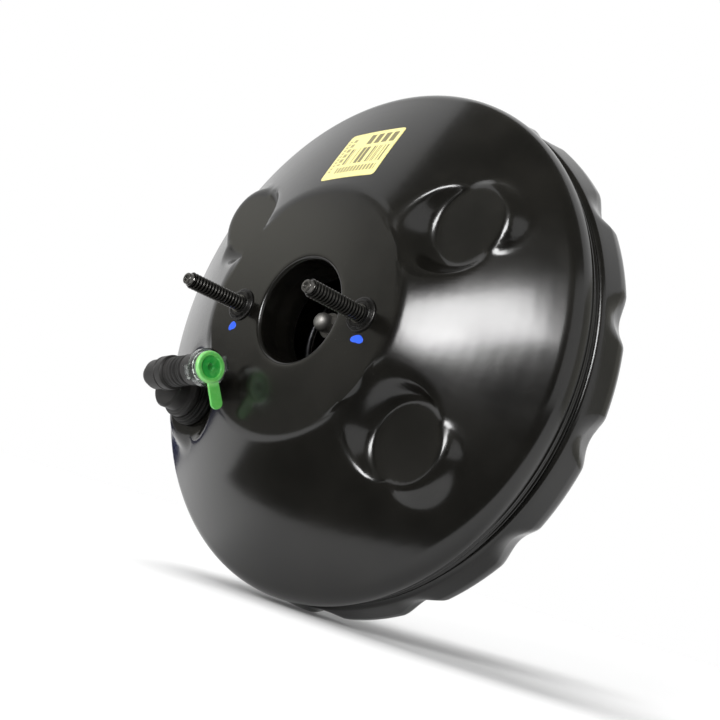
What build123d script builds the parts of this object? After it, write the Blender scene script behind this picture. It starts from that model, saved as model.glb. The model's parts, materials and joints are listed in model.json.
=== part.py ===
from build123d import *
from math import atan, cos, pi, radians, sin, tan
import os

os.makedirs("parts", exist_ok=True)

# Vacuum brake booster, 10 inch, single diaphragm.
# The origin is the centre of the mounting face that bolts to the bulkhead.
# The master cylinder side looks along -Y, the pedal side along +Y, and +Z is up.
# Heights are counted forward from the mounting face, so a height h lies at Y = -h.

# Sheet steel and running gaps
sheet = 1.5
running_gap = 0.05
loose_gap = 0.3

# Front shell
front_height = 104.0
plateau_radius = 62.5
flank_crown = 1.5
plateau_blend = 14.0
skirt_radius = 130.5
skirt_length = 7.9
skirt_flat = 1.8
groove_top = 61.0
groove_depth = 4.0
groove_width = 6.0
groove_slope = 1.5
groove_round = 1.0
lip_reach = 1.3
lip_thickness = 1.8

# Level pads pressed into the front slope
pad_offset_x = 74.0
pad_offset_z = 50.0
pad_drop = 16.0
pad_radius = 21.0
pad_wall_angle = 28.0
pad_round = 3.5
pad_base = 16.0
pad_skim = 0.15

# Master cylinder neck, bore and studs
neck_bore = 25.5
neck_bore_length = 10.0
neck_lip_round = 2.0
neck_step = 1.2
neck_depth = 23.0
master_stud_spacing = 83.0
stud_radius = 4.0
master_stud_reach = 36.0
stud_point = 1.2
stud_shoulder = 4.6
stud_head_radius = 8.0
stud_head_height = 4.0
collar_radius = 8.6
collar_height = 2.2
collar_top_radius = 6.4

# Rear shell
rear_face_radius = 66.0
rear_face_blend = 12.0
band_inset = 0.5
band_round = 3.0
crest_rise = 2.5
crest_drop = 11.2
crest_width = 8.0
crest_blend = 9.0
rim_width = 10.0
scallop_count = 15
scallop_radius = 7.0
scallop_depth = 4.0
scallop_tilt = 16.0
scallop_length = 46.0
scallop_turn = 12.0

# Bulkhead mounting
firewall_spacing = 76.0
firewall_stud_reach = 24.0
plate_thickness = 2.5
rear_plate_inner = 30.0
rear_plate_margin = 3.5
front_plate_inner = 32.0
front_plate_margin = 4.5

# Rear neck, guide seal and its retainer
rear_neck_radius = 25.0
rear_neck_length = 22.0
rear_neck_blend = 3.0
guide_length = 10.0
guide_lead = 1.0
guide_groove = 1.2
retainer_thickness = 3.0

# Valve body that carries the power piston
stem_radius = 19.5
stem_reach = 72.0
hub_radius = 33.0
hub_height = 18.0
hub_thickness = 4.0
boss_radius = 16.0
boss_height = 36.0
disc_bore = 11.5
disc_floor = 23.0
chamber_radius = 15.0
chamber_floor = 2.0

# Diaphragm plate, diaphragm and the ring that locks them on the stem
plate_flat_radius = 64.0
plate_rim_inset = 18.5
plate_rise = 24.0
plate_flange = 4.0
rubber = 2.0
bead_height = 4.5
bead_width = 5.0
lock_ring_width = 5.0
lock_ring_thickness = 2.0

# Output side
reaction_thickness = 6.7
rod_head_thickness = 5.0
rod_radius = 6.5
tip_radius = 4.6
tip_depth = 13.0
tip_length = 9.0
tip_round = 4.3
tip_hexagon = 8.0
tip_hexagon_length = 4.0
cup_thickness = 1.2
cup_length = 6.0
cup_opening = 8.0

# Stop key, plunger and input rod
key_height = 4.0
key_thickness = 2.5
key_width = 12.0
key_reach = 24.0
key_foot = 7.0
plunger_radius = 6.3
plunger_travel = 2.0
plunger_neck_radius = 4.0
plunger_front_gap = 2.3
plunger_seat_radius = 9.5
plunger_seat_thickness = 2.0
plunger_tail = 1.7
ball_radius = 4.5
ball_depth = 5.5
ball_mouth_radius = 3.8
input_rod_radius = 4.5
input_rod_neck_radius = 3.2
input_rod_neck_length = 9.0
seat_flange_radius = 11.5
seat_flange_thickness = 2.0
seat_flange_depth = 44.0

# Poppet and filters inside the stem
poppet_radius = 13.2
poppet_bore = 7.4
poppet_lip = 2.2
poppet_length = 11.0
poppet_wall = 1.4
poppet_foot = 2.0
retainer_bore = 8.8
retainer_width = 2.4
filter_bore = 8.6
filter_count = 2
filter_gap = 2.0

# Clevis and lock nut
clevis_pin_depth = 122.0
clevis_pin_radius = 5.0
clevis_slot = 12.0
clevis_ear = 4.0
clevis_width = 20.0
clevis_back = 5.0
clevis_slot_depth = 20.0
nut_across_flats = 13.0
nut_thickness = 6.0

# Springs: coil radius, wire radius and turns
return_coil_radius = 29.3
return_wire = 1.9
return_turns = 5
poppet_coil_radius = 10.4
poppet_wire = 0.7
poppet_turns = 3
input_coil_radius = 10.2
input_wire = 0.8
input_turns = 4
valve_coil_radius = 4.2
valve_wire = 0.45
valve_turns = 3

# Dust boot
boot_folds = 5
boot_outer = 30.0
boot_inner = 23.0
boot_wall = 2.2
boot_collar_length = 12.0
boot_collar_wall = 1.8
boot_tail_length = 5.0
boot_opening = 9.0

# Check valve on the lower left pad
valve_x = -75.0
valve_z = -47.5
grommet_hole = 9.0
grommet_radius = 14.8
grommet_top_radius = 13.4
grommet_height = 7.0
grommet_bulb_radius = 11.0
grommet_bulb = 3.5
valve_stem_radius = 8.0
valve_stem_bore = 3.5
valve_flange_radius = 12.4
valve_flange_height = 4.0
valve_floor = 1.0
valve_barrel_radius = 10.0
valve_chamber_radius = 7.4
valve_chamber_length = 7.0
valve_roof = 2.1
valve_disc_radius = 6.4
valve_disc_thickness = 1.6

# Vacuum outlet that crosses over the check valve
outlet_lift = 6.9
outlet_rise_z = 4.5
outlet_forward = 0.127
outlet_upward = 0.142
elbow_radius = 7.6
elbow_back = 2.0
elbow_front = 6.5
hose_stop_radius = 8.6
hose_stop_length = 8.5
outlet_bore = 2.4
nozzle_radius = 4.2
nozzle_length = 8.0
cap_radius = 6.2
cap_length = 6.8
cap_round = 5.2
cap_spigot = 3.0
hose_radius = 7.5
hose_length = 16.5
hose_rib_radius = 7.9
hose_rib_length = 1.8
hose_rib_count = 4
connector_radius = 7.7
connector_length = 13.5
connector_spigot = 6.0
connector_bore = 4.6
connector_bore_depth = 12.0
clip_radius = 9.2
clip_length = 4.0
clip_ear_reach = 11.2
clip_ear_width = 7.0
clip_turn = 30.0

# Transit plug with its pull tab
plug_head_radius = 7.8
plug_head_thickness = 2.2
plug_rim = 0.6
plug_dish_radius = 5.4
plug_dish_depth = 0.6
plug_dimple_radius = 1.6
plug_dimple_depth = 1.0
plug_shank_length = 11.0
tab_length = 20.2
tab_width = 5.6
tab_end_width = 6.2
tab_thickness = 1.6
tab_slant = 27.0

# Places worked out from the driving dimensions
section = Plane(origin=(0, 0, 0), x_dir=(1, 0, 0), z_dir=(0, 0, -1))
front_face = Plane.XZ
skirt_top = groove_top + skirt_length
flank_angle = atan((front_height - skirt_top) / (skirt_radius - plateau_radius))
skirt_blend = (skirt_length - skirt_flat) / tan(pi / 4 - flank_angle / 2)
groove_floor = skirt_radius - groove_depth
lip_radius = groove_floor + lip_reach
rim_height = groove_top - groove_width - lip_thickness - groove_round
pad_height = front_height - pad_drop
band_front_radius = skirt_radius - band_inset
crest_radius = skirt_radius + crest_rise
crest_height = rim_height - crest_drop
rear_flank_height = crest_height - crest_width
rim_opening = band_front_radius - rim_width
rear_neck_bore = rear_neck_radius - sheet
rear_neck_collar = rear_neck_radius + rear_neck_blend
inner_face = front_height - sheet
neck_end = front_height - neck_depth
neck_bore_end = front_height - neck_lip_round - neck_bore_length
neck_collar = neck_bore + neck_lip_round + sheet
rear_plate_outer = rear_face_radius - rear_plate_margin
front_plate_outer = plateau_radius - front_plate_margin
rear_plate_front = sheet + plate_thickness
front_plate_back = inner_face - plate_thickness
hub_back = hub_height - hub_thickness
band_inner = groove_floor - sheet
plate_rim_radius = skirt_radius - plate_rim_inset
plate_back = hub_back - sheet
diaphragm_back = plate_back - rubber
bead_outer = band_inner - loose_gap
bead_inner = bead_outer - bead_width
bead_back = rim_height + loose_gap
reaction_front = disc_floor + reaction_thickness
rod_head_front = reaction_front + rod_head_thickness
tip_height = front_height - tip_depth
rod_end_height = tip_height - tip_length
plunger_bore = plunger_radius + running_gap
seat_front = chamber_floor + plunger_travel + loose_gap
seat_back = seat_front + plunger_seat_thickness
poppet_front = seat_back + loose_gap
poppet_back = poppet_front + poppet_length
retainer_back = poppet_back + retainer_width
filter_start = seat_flange_depth + seat_flange_thickness + filter_gap
filter_thickness = (stem_reach - filter_start) / filter_count - filter_gap
grommet_top = pad_height + grommet_height
valve_flange_top = grommet_top + valve_flange_height
chamber_start = valve_flange_top - valve_floor
chamber_end = chamber_start + valve_chamber_length
outlet_height = chamber_end + valve_roof + outlet_lift
hose_start = elbow_front + hose_stop_length
hose_end = hose_start + hose_length
connector_end = hose_end + connector_length
clevis_end = clevis_pin_depth - clevis_slot_depth - clevis_back
valve_section = Plane(origin=(valve_x, 0, valve_z), x_dir=(1, 0, 0), z_dir=(0, 0, -1))
valve_axis = Axis((valve_x, 0, valve_z), (0, 1, 0))
outlet = Plane(
    origin=(valve_x, -outlet_height, valve_z + outlet_rise_z),
    x_dir=(outlet_forward, 1, 0),
    z_dir=(1, -outlet_forward, outlet_upward),
)
outlet_axis = Axis(outlet.origin, outlet.z_dir)
tab_plane = Plane(
    origin=(outlet.offset(connector_end + loose_gap)).origin,
    x_dir=(0, sin(radians(tab_slant)), -cos(radians(tab_slant))),
    z_dir=outlet.z_dir,
)


def turned(*corners, plane=section):
    """Closed section from its corners, each a radius and a height, for turning."""
    with BuildSketch(plane) as profile:
        with BuildLine():
            Polyline(*corners, close=True)
        make_face()
    return profile.sketch


def ring(inner, outer, low, high, plane=section):
    """Rectangular section of a turned ring."""
    return turned((inner, low), (outer, low), (outer, high), (inner, high), plane=plane)


def coil(coil_radius, wire_radius, low, high, turns, x=0.0, z=0.0):
    """Round wire spring that stands between two heights."""
    rise = high - low - 2 * wire_radius
    with BuildPart() as spring:
        with BuildLine() as path:
            Helix(rise / turns, rise, coil_radius, center=(x, -low - wire_radius, z), direction=(0, -1, 0))
        with BuildSketch(Plane(origin=path.line @ 0, z_dir=path.line % 0)):
            Circle(wire_radius)
        sweep(is_frenet=True)
    return spring.part


def front_form(inset):
    """Solid of the domed front with its four level pads, drawn in by an inset."""
    top = front_height - inset
    plateau_corner = plateau_radius - inset * tan(flank_angle / 2)
    skirt = skirt_radius - inset
    shoulder = top - (skirt - plateau_corner) * tan(flank_angle)
    floor = groove_floor - inset
    pad_top = pad_height - inset
    with BuildPart() as recess:
        with BuildSketch(front_face.offset(pad_top)):
            with GridLocations(2 * pad_offset_x, 2 * pad_offset_z, 2, 2):
                Circle(pad_radius + inset)
        extrude(amount=front_height - pad_top, taper=-pad_wall_angle)
        fillet(recess.edges().group_by(Axis.Y)[-1], pad_round)
    with BuildPart() as raised:
        with BuildSketch(front_face.offset(pad_top + pad_skim)):
            with GridLocations(2 * pad_offset_x, 2 * pad_offset_z, 2, 2):
                Circle(pad_radius - inset)
        extrude(amount=-pad_base, taper=-pad_wall_angle)
        fillet(raised.edges().group_by(Axis.Y)[0], pad_round)
    with BuildPart() as form:
        with BuildSketch(section) as profile:
            with BuildLine():
                Line((0, top), (plateau_corner, top))
                SagittaArc((plateau_corner, top), (skirt, shoulder), flank_crown)
                Polyline(
                    (skirt, shoulder),
                    (skirt, groove_top + inset),
                    (floor, groove_top - groove_slope + inset),
                    (floor, rim_height - inset),
                    (0, rim_height - inset),
                    (0, top),
                )
            make_face()
            plateau_edge = profile.vertices().sort_by_distance((plateau_corner, top))[0]
            fillet(plateau_edge, plateau_blend)
            skirt_edge = profile.vertices().sort_by_distance((skirt, shoulder))[0]
            fillet(skirt_edge, skirt_blend - inset)
        revolve(axis=Axis.Y)
        add(raised.part)
        add(recess.part, mode=Mode.SUBTRACT)
    return form.part


def rear_form(inset):
    """Solid of the rear bowl with its scalloped shoulder, drawn in by an inset."""
    crest = crest_radius - inset
    band = band_front_radius - inset
    face = rear_face_radius
    rim = rim_height - inset
    with BuildPart(front_face.offset(crest_height)) as scallops:
        with PolarLocations(crest_radius + scallop_radius - scallop_depth, scallop_count, scallop_turn):
            Cylinder(scallop_radius + inset, scallop_length, rotation=(0, scallop_tilt, 0))
    with BuildPart() as form:
        with BuildSketch(section) as profile:
            with BuildLine():
                Polyline(
                    (0, inset),
                    (face, inset),
                    (crest, rear_flank_height + inset),
                    (crest, crest_height),
                    (band, rim),
                    (0, rim),
                    close=True,
                )
            make_face()
            face_edge = profile.vertices().sort_by_distance((face, inset))[0]
            fillet(face_edge, rear_face_blend)
            crest_edge = profile.vertices().sort_by_distance((crest, rear_flank_height + inset))[0]
            fillet(crest_edge, crest_blend - inset)
            band_edge = profile.vertices().sort_by_distance((band, rim))[0]
            fillet(band_edge, band_round - inset)
        revolve(axis=Axis.Y)
        add(scallops.part, mode=Mode.SUBTRACT)
    return form.part


# Front shell: one pressed sheet with a drawn neck, a groove and a turned lip
with BuildPart() as front_shell:
    add(front_form(0))
    add(front_form(sheet), mode=Mode.SUBTRACT)
    revolve(ring(band_inner, lip_radius, rim_height, rim_height + lip_thickness), axis=Axis.Y)
    with BuildSketch(front_face.offset(inner_face)):
        Circle(neck_collar)
    extrude(amount=sheet, mode=Mode.SUBTRACT)
    with BuildSketch(section):
        with BuildLine():
            Line((neck_collar, front_height), (neck_bore + neck_lip_round, front_height))
            RadiusArc(
                (neck_bore + neck_lip_round, front_height),
                (neck_bore, front_height - neck_lip_round),
                neck_lip_round,
            )
            Polyline(
                (neck_bore, front_height - neck_lip_round),
                (neck_bore, neck_bore_end),
                (neck_bore - neck_step, neck_bore_end),
                (neck_bore - neck_step, neck_end),
                (neck_bore + sheet - neck_step, neck_end),
                (neck_bore + sheet - neck_step, neck_bore_end - neck_step),
                (neck_bore + sheet, neck_bore_end),
                (neck_bore + sheet, inner_face),
                (neck_collar, inner_face),
                (neck_collar, front_height),
            )
        make_face()
    revolve(axis=Axis.Y)
    with BuildSketch(front_face.offset(inner_face)):
        with GridLocations(master_stud_spacing, 0, 2, 1):
            Circle(stud_shoulder)
    extrude(amount=sheet, mode=Mode.SUBTRACT)
    with BuildSketch(front_face.offset(pad_height - pad_base)):
        with Locations((valve_x, valve_z)):
            Circle(grommet_hole)
    extrude(amount=pad_base, mode=Mode.SUBTRACT)

# Rear shell: one pressed sheet with a rearward neck and a scalloped shoulder
with BuildPart() as rear_shell:
    add(rear_form(0))
    add(rear_form(sheet), mode=Mode.SUBTRACT)
    with BuildSketch(front_face.offset(rim_height - sheet)):
        Circle(rim_opening)
    extrude(amount=sheet, mode=Mode.SUBTRACT)
    with BuildSketch(front_face):
        Circle(rear_neck_collar)
        with GridLocations(firewall_spacing, firewall_spacing, 2, 2):
            Circle(stud_shoulder)
    extrude(amount=sheet, mode=Mode.SUBTRACT)
    with BuildSketch(section):
        with BuildLine():
            Polyline(
                (rear_neck_bore, -rear_neck_blend),
                (rear_neck_bore, -rear_neck_length),
                (rear_neck_radius, -rear_neck_length),
                (rear_neck_radius, -rear_neck_blend),
            )
            RadiusArc((rear_neck_radius, -rear_neck_blend), (rear_neck_collar, 0), rear_neck_blend)
            Line((rear_neck_collar, 0), (rear_neck_collar, sheet))
            RadiusArc(
                (rear_neck_collar, sheet),
                (rear_neck_bore, -rear_neck_blend),
                -rear_neck_blend - sheet,
            )
        make_face()
    revolve(axis=Axis.Y)

# Front reinforcement: flat ring behind the plateau that spreads the load of the master cylinder
with BuildPart() as front_reinforcement:
    revolve(ring(front_plate_inner, front_plate_outer, front_plate_back, inner_face), axis=Axis.Y)
    with BuildSketch(front_face.offset(front_plate_back)):
        with GridLocations(master_stud_spacing, 0, 2, 1):
            Circle(stud_shoulder)
    extrude(amount=plate_thickness, mode=Mode.SUBTRACT)

# Rear reinforcement: flat ring inside the mounting face
with BuildPart() as rear_reinforcement:
    revolve(ring(rear_plate_inner, rear_plate_outer, sheet, rear_plate_front), axis=Axis.Y)
    with BuildSketch(front_face.offset(sheet)):
        with GridLocations(firewall_spacing, firewall_spacing, 2, 2):
            Circle(stud_shoulder)
    extrude(amount=plate_thickness, mode=Mode.SUBTRACT)

# Master cylinder studs with their heads inside the shell
with BuildPart() as master_cylinder_studs:
    with BuildSketch(front_face.offset(front_plate_back)):
        with GridLocations(master_stud_spacing, 0, 2, 1):
            Circle(stud_head_radius)
    extrude(amount=-stud_head_height)
    with BuildSketch(front_face.offset(front_plate_back)):
        with GridLocations(master_stud_spacing, 0, 2, 1):
            Circle(stud_shoulder)
    extrude(amount=front_height + collar_height - front_plate_back)
    with BuildSketch(front_face.offset(front_height + collar_height)):
        with GridLocations(master_stud_spacing, 0, 2, 1):
            Circle(stud_radius)
    extrude(amount=master_stud_reach - collar_height)
    chamfer(master_cylinder_studs.edges().group_by(Axis.Y)[0], stud_point)

# Press collars round the master cylinder studs
with BuildPart() as stud_collars:
    with BuildSketch(front_face.offset(front_height)):
        with GridLocations(master_stud_spacing, 0, 2, 1):
            Circle(collar_radius)
    extrude(amount=collar_height)
    chamfer(stud_collars.edges().group_by(Axis.Y)[0], collar_height / 2, collar_radius - collar_top_radius)
    with BuildSketch(front_face.offset(front_height)):
        with GridLocations(master_stud_spacing, 0, 2, 1):
            Circle(stud_shoulder)
    extrude(amount=collar_height, mode=Mode.SUBTRACT)

# Bulkhead studs with their heads inside the shell
with BuildPart() as firewall_studs:
    with BuildSketch(front_face.offset(rear_plate_front)):
        with GridLocations(firewall_spacing, firewall_spacing, 2, 2):
            Circle(stud_head_radius)
    extrude(amount=stud_head_height)
    with BuildSketch(front_face.offset(rear_plate_front)):
        with GridLocations(firewall_spacing, firewall_spacing, 2, 2):
            Circle(stud_shoulder)
    extrude(amount=-rear_plate_front)
    with BuildSketch(front_face):
        with GridLocations(firewall_spacing, firewall_spacing, 2, 2):
            Circle(stud_radius)
    extrude(amount=-firewall_stud_reach)
    chamfer(firewall_studs.edges().group_by(Axis.Y)[-1], stud_point)

# Guide seal that centres the valve body in the rear neck, with a grooved outside
guide_outer = rear_neck_bore
guide_inner = stem_radius + running_gap
guide_middle = (guide_outer + guide_inner) / 2
with BuildPart() as guide_seal:
    revolve(ring(guide_inner, guide_outer, -guide_length, 0), axis=Axis.Y)
    groove = ring(guide_middle, guide_outer, -2 * guide_lead - guide_groove, -2 * guide_lead)
    revolve(groove, axis=Axis.Y, mode=Mode.SUBTRACT)
    chamfer(guide_seal.edges().filter_by(GeomType.CIRCLE).group_by(SortBy.RADIUS)[0], guide_lead)

# Ring pressed into the neck that holds the guide seal
with BuildPart() as seal_retainer:
    revolve(
        turned(
            (stem_radius + loose_gap, -guide_length - retainer_thickness),
            (guide_outer, -guide_length - retainer_thickness),
            (guide_outer, -guide_length),
            (guide_inner + guide_lead, -guide_length),
            (stem_radius + loose_gap, -guide_length - guide_lead),
        ),
        axis=Axis.Y,
    )

# Valve body: hub, front boss with the reaction bore, and a long stem with the air chamber
with BuildPart() as valve_body:
    with BuildSketch(section):
        with BuildLine():
            Polyline(
                (plunger_bore, disc_floor),
                (disc_bore, disc_floor),
                (disc_bore, boss_height),
                (boss_radius, boss_height),
                (boss_radius, hub_height),
                (hub_radius, hub_height),
                (hub_radius, hub_back),
                (stem_radius, hub_back),
                (stem_radius, -stem_reach),
                (chamber_radius, -stem_reach),
                (chamber_radius, -chamber_floor),
                (plunger_bore, -chamber_floor),
                close=True,
            )
        make_face()
    revolve(axis=Axis.Y)
    with BuildSketch(front_face.offset(key_height)):
        with Locations((0, (key_reach - key_foot) / 2)):
            Rectangle(key_width, key_reach + key_foot)
    extrude(amount=key_thickness, mode=Mode.SUBTRACT)

# Dished plate that the air pressure pushes forward
with BuildPart() as diaphragm_plate:
    with BuildSketch(section):
        with BuildLine():
            Polyline(
                (stem_radius, plate_back),
                (plate_flat_radius, plate_back),
                (plate_rim_radius, plate_back + plate_rise),
                (plate_rim_radius, hub_back + plate_rise + plate_flange),
                (plate_rim_radius - sheet, hub_back + plate_rise + plate_flange),
                (plate_rim_radius - sheet, hub_back + plate_rise),
                (plate_flat_radius, hub_back),
                (stem_radius, hub_back),
                close=True,
            )
        make_face()
    revolve(axis=Axis.Y)

# Rubber diaphragm behind the plate, with a bead held in the seam of the shells
with BuildPart() as diaphragm:
    with BuildSketch(section):
        with BuildLine():
            Polyline(
                (stem_radius, plate_back),
                (plate_flat_radius, plate_back),
                (plate_rim_radius, plate_back + plate_rise),
                (plate_rim_radius, hub_back + plate_rise + plate_flange + rubber),
                (bead_inner, bead_back + bead_height),
                (bead_outer, bead_back + bead_height),
                (bead_outer, bead_back),
                (bead_inner, bead_back),
                (plate_rim_radius + rubber, hub_back + plate_rise + plate_flange),
                (plate_rim_radius + rubber, diaphragm_back + plate_rise),
                (plate_flat_radius, diaphragm_back),
                (stem_radius, diaphragm_back),
                close=True,
            )
        make_face()
    revolve(axis=Axis.Y)

# Ring that locks the plate and the diaphragm against the hub
with BuildPart() as diaphragm_retainer:
    retainer_section = ring(
        stem_radius,
        stem_radius + lock_ring_width,
        diaphragm_back - lock_ring_thickness,
        diaphragm_back,
    )
    revolve(retainer_section, axis=Axis.Y)

# Rubber disc that balances the pedal force against the output force
with BuildPart() as reaction_disc:
    with BuildSketch(front_face.offset(disc_floor)):
        Circle(disc_bore)
    extrude(amount=reaction_thickness)

# Output rod with its head on the reaction disc
with BuildPart() as output_rod:
    with BuildSketch(front_face.offset(reaction_front)):
        Circle(disc_bore)
    extrude(amount=rod_head_thickness)
    with BuildSketch(front_face.offset(rod_head_front)):
        Circle(rod_radius)
    extrude(amount=rod_end_height - rod_head_front)

# Adjusting screw at the end of the output rod, with a domed point
with BuildPart() as output_rod_tip:
    with BuildSketch(front_face.offset(rod_end_height)):
        RegularPolygon(tip_hexagon / 2, 6, major_radius=False)
    extrude(amount=tip_hexagon_length)
    with BuildSketch(front_face.offset(rod_end_height + tip_hexagon_length)):
        Circle(tip_radius)
    extrude(amount=tip_height - rod_end_height - tip_hexagon_length)
    fillet(output_rod_tip.edges().group_by(Axis.Y)[0], tip_round)

# Cup pressed over the boss that keeps the output rod in
with BuildPart() as output_rod_retainer:
    with BuildSketch(section):
        with BuildLine():
            Polyline(
                (boss_radius, boss_height + cup_thickness - cup_length),
                (boss_radius, boss_height),
                (cup_opening, boss_height),
                (cup_opening, boss_height + cup_thickness),
                (boss_radius + cup_thickness, boss_height + cup_thickness),
                (boss_radius + cup_thickness, boss_height + cup_thickness - cup_length),
                close=True,
            )
        make_face()
    revolve(axis=Axis.Y)

# Return spring between the hub and the front shell
with BuildPart() as return_spring:
    add(coil(return_coil_radius, return_wire, hub_height, inner_face, return_turns))

# Forked key across the stem that limits the plunger
with BuildPart() as stop_key:
    with BuildSketch(front_face.offset(key_height)):
        with Locations((0, (key_reach - key_foot) / 2)):
            Rectangle(key_width, key_reach + key_foot)
        Circle(plunger_neck_radius + loose_gap, mode=Mode.SUBTRACT)
        with Locations((0, -key_foot / 2)):
            Rectangle(2 * (plunger_neck_radius + loose_gap), key_foot, mode=Mode.SUBTRACT)
    extrude(amount=key_thickness)

# Plunger with a neck for the key, a valve seat and a socket for the input rod
with BuildPart() as plunger:
    with BuildSketch(section):
        with BuildLine():
            Polyline(
                (0, disc_floor - plunger_front_gap),
                (plunger_radius, disc_floor - plunger_front_gap),
                (plunger_radius, key_height + key_thickness + loose_gap),
                (plunger_neck_radius, key_height + key_thickness + loose_gap),
                (plunger_neck_radius, key_height - plunger_travel - loose_gap),
                (plunger_radius, key_height - plunger_travel - loose_gap),
                (plunger_radius, -seat_front),
                (plunger_seat_radius, -seat_front),
                (plunger_seat_radius, -seat_back),
                (plunger_radius, -seat_back),
                (plunger_radius, -seat_back - plunger_tail),
                (0, -seat_back - plunger_tail),
                close=True,
            )
        make_face()
    revolve(axis=Axis.Y)
    with Locations((0, ball_depth, 0)):
        Sphere(ball_radius + running_gap, mode=Mode.SUBTRACT)
    with BuildSketch(front_face.offset(-ball_depth)):
        Circle(ball_mouth_radius)
    extrude(amount=-(seat_back + plunger_tail - ball_depth), mode=Mode.SUBTRACT)

# Input rod with its ball, its neck and the seat of the return spring
with BuildPart() as input_rod:
    with Locations((0, ball_depth, 0)):
        Sphere(ball_radius)
    with BuildSketch(front_face.offset(-ball_depth)):
        Circle(input_rod_neck_radius)
    extrude(amount=-input_rod_neck_length)
    with BuildSketch(front_face.offset(-ball_depth - input_rod_neck_length)):
        Circle(input_rod_radius)
    extrude(amount=-(clevis_end + clevis_back - ball_depth - input_rod_neck_length))
    with BuildSketch(front_face.offset(-seat_flange_depth)):
        Circle(seat_flange_radius)
    extrude(amount=-seat_flange_thickness)

# Lock nut against the clevis
with BuildPart() as lock_nut:
    with BuildSketch(front_face.offset(-clevis_end)):
        RegularPolygon(nut_across_flats / 2, 6, major_radius=False)
        Circle(input_rod_radius, mode=Mode.SUBTRACT)
    extrude(amount=nut_thickness)

# Clevis: rounded fork with a cross bore for the pedal pin
with BuildPart() as clevis:
    with BuildSketch(Plane.YZ.offset(-clevis_slot / 2 - clevis_ear)):
        with Locations(((clevis_end + clevis_pin_depth) / 2, 0)):
            Rectangle(clevis_pin_depth - clevis_end, clevis_width)
        with Locations((clevis_pin_depth, 0)):
            Circle(clevis_width / 2)
            Circle(clevis_pin_radius, mode=Mode.SUBTRACT)
    extrude(amount=clevis_slot + 2 * clevis_ear)
    with BuildSketch(front_face.offset(-clevis_end - clevis_back)):
        Rectangle(clevis_slot, clevis_width)
    extrude(amount=-clevis_slot_depth - clevis_width / 2, mode=Mode.SUBTRACT)
    with BuildSketch(front_face.offset(-clevis_end)):
        Circle(input_rod_radius)
    extrude(amount=-clevis_back, mode=Mode.SUBTRACT)

# Poppet: rubber cup whose lip closes on the plunger seat
with BuildPart() as poppet_seal:
    with BuildSketch(section):
        with BuildLine():
            Polyline(
                (poppet_bore, -poppet_front),
                (poppet_radius, -poppet_front),
                (poppet_radius, -poppet_back + poppet_foot),
                (chamber_radius, -poppet_back + poppet_foot),
                (chamber_radius, -poppet_back),
                (poppet_radius - poppet_wall, -poppet_back),
                (poppet_radius - poppet_wall, -poppet_front - poppet_lip),
                (poppet_bore, -poppet_front - poppet_lip),
                close=True,
            )
        make_face()
    revolve(axis=Axis.Y)

# Steel ring that holds the poppet and seats both small springs
with BuildPart() as poppet_retainer:
    revolve(ring(retainer_bore, chamber_radius, -retainer_back, -poppet_back), axis=Axis.Y)

# Small springs of the poppet and of the input rod
with BuildPart() as poppet_spring:
    add(coil(poppet_coil_radius, poppet_wire, -poppet_back, -poppet_front - poppet_lip, poppet_turns))
with BuildPart() as input_return_spring:
    add(coil(input_coil_radius, input_wire, -seat_flange_depth, -retainer_back, input_turns))

# Foam discs that filter and quiet the incoming air
with BuildPart() as air_filters:
    for index in range(filter_count):
        filter_front = filter_start + index * (filter_thickness + filter_gap)
        filter_back = filter_front + filter_thickness
        revolve(ring(filter_bore, chamber_radius, -filter_back, -filter_front), axis=Axis.Y)

# Dust boot: collar on the neck, bellows over the stem and a lipped tail
boot_start = rear_neck_length + loose_gap
boot_tail = stem_reach + loose_gap
fold_pitch = (boot_tail - boot_tail_length - boot_start) / boot_folds
fold_corners = []
for index in range(boot_folds):
    fold_corners.append((boot_inner, -boot_start - index * fold_pitch))
    fold_corners.append((boot_outer, -boot_start - (index + 0.5) * fold_pitch))
boot_outside = [
    (rear_neck_radius + boot_collar_wall, boot_collar_length - rear_neck_length),
    (rear_neck_radius + boot_collar_wall, -boot_start),
    *fold_corners,
    (boot_inner, -boot_tail + boot_tail_length),
    (boot_inner, -boot_tail - boot_wall),
    (boot_opening, -boot_tail - boot_wall),
]
boot_inside = [
    (boot_opening, -boot_tail),
    (stem_radius + loose_gap, -boot_tail),
    (stem_radius + loose_gap, -boot_tail + boot_tail_length),
    *[(radius - boot_wall, height) for radius, height in reversed(fold_corners)],
    (rear_neck_radius, -rear_neck_length),
    (rear_neck_radius, boot_collar_length - rear_neck_length),
]
with BuildPart() as dust_boot:
    revolve(turned(*boot_outside, *boot_inside), axis=Axis.Y)

# Grommet that seals the check valve in the pad
with BuildPart() as check_valve_grommet:
    with BuildSketch(valve_section):
        with BuildLine():
            Polyline(
                (valve_stem_radius, pad_height - sheet - grommet_bulb),
                (grommet_hole, pad_height - sheet - grommet_bulb),
                (grommet_bulb_radius, pad_height - sheet),
                (grommet_hole, pad_height - sheet),
                (grommet_hole, pad_height),
                (grommet_radius, pad_height),
                (grommet_radius, pad_height + grommet_height / 2),
                (grommet_top_radius, grommet_top),
                (valve_stem_radius, grommet_top),
                close=True,
            )
        make_face()
    revolve(axis=valve_axis)

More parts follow.
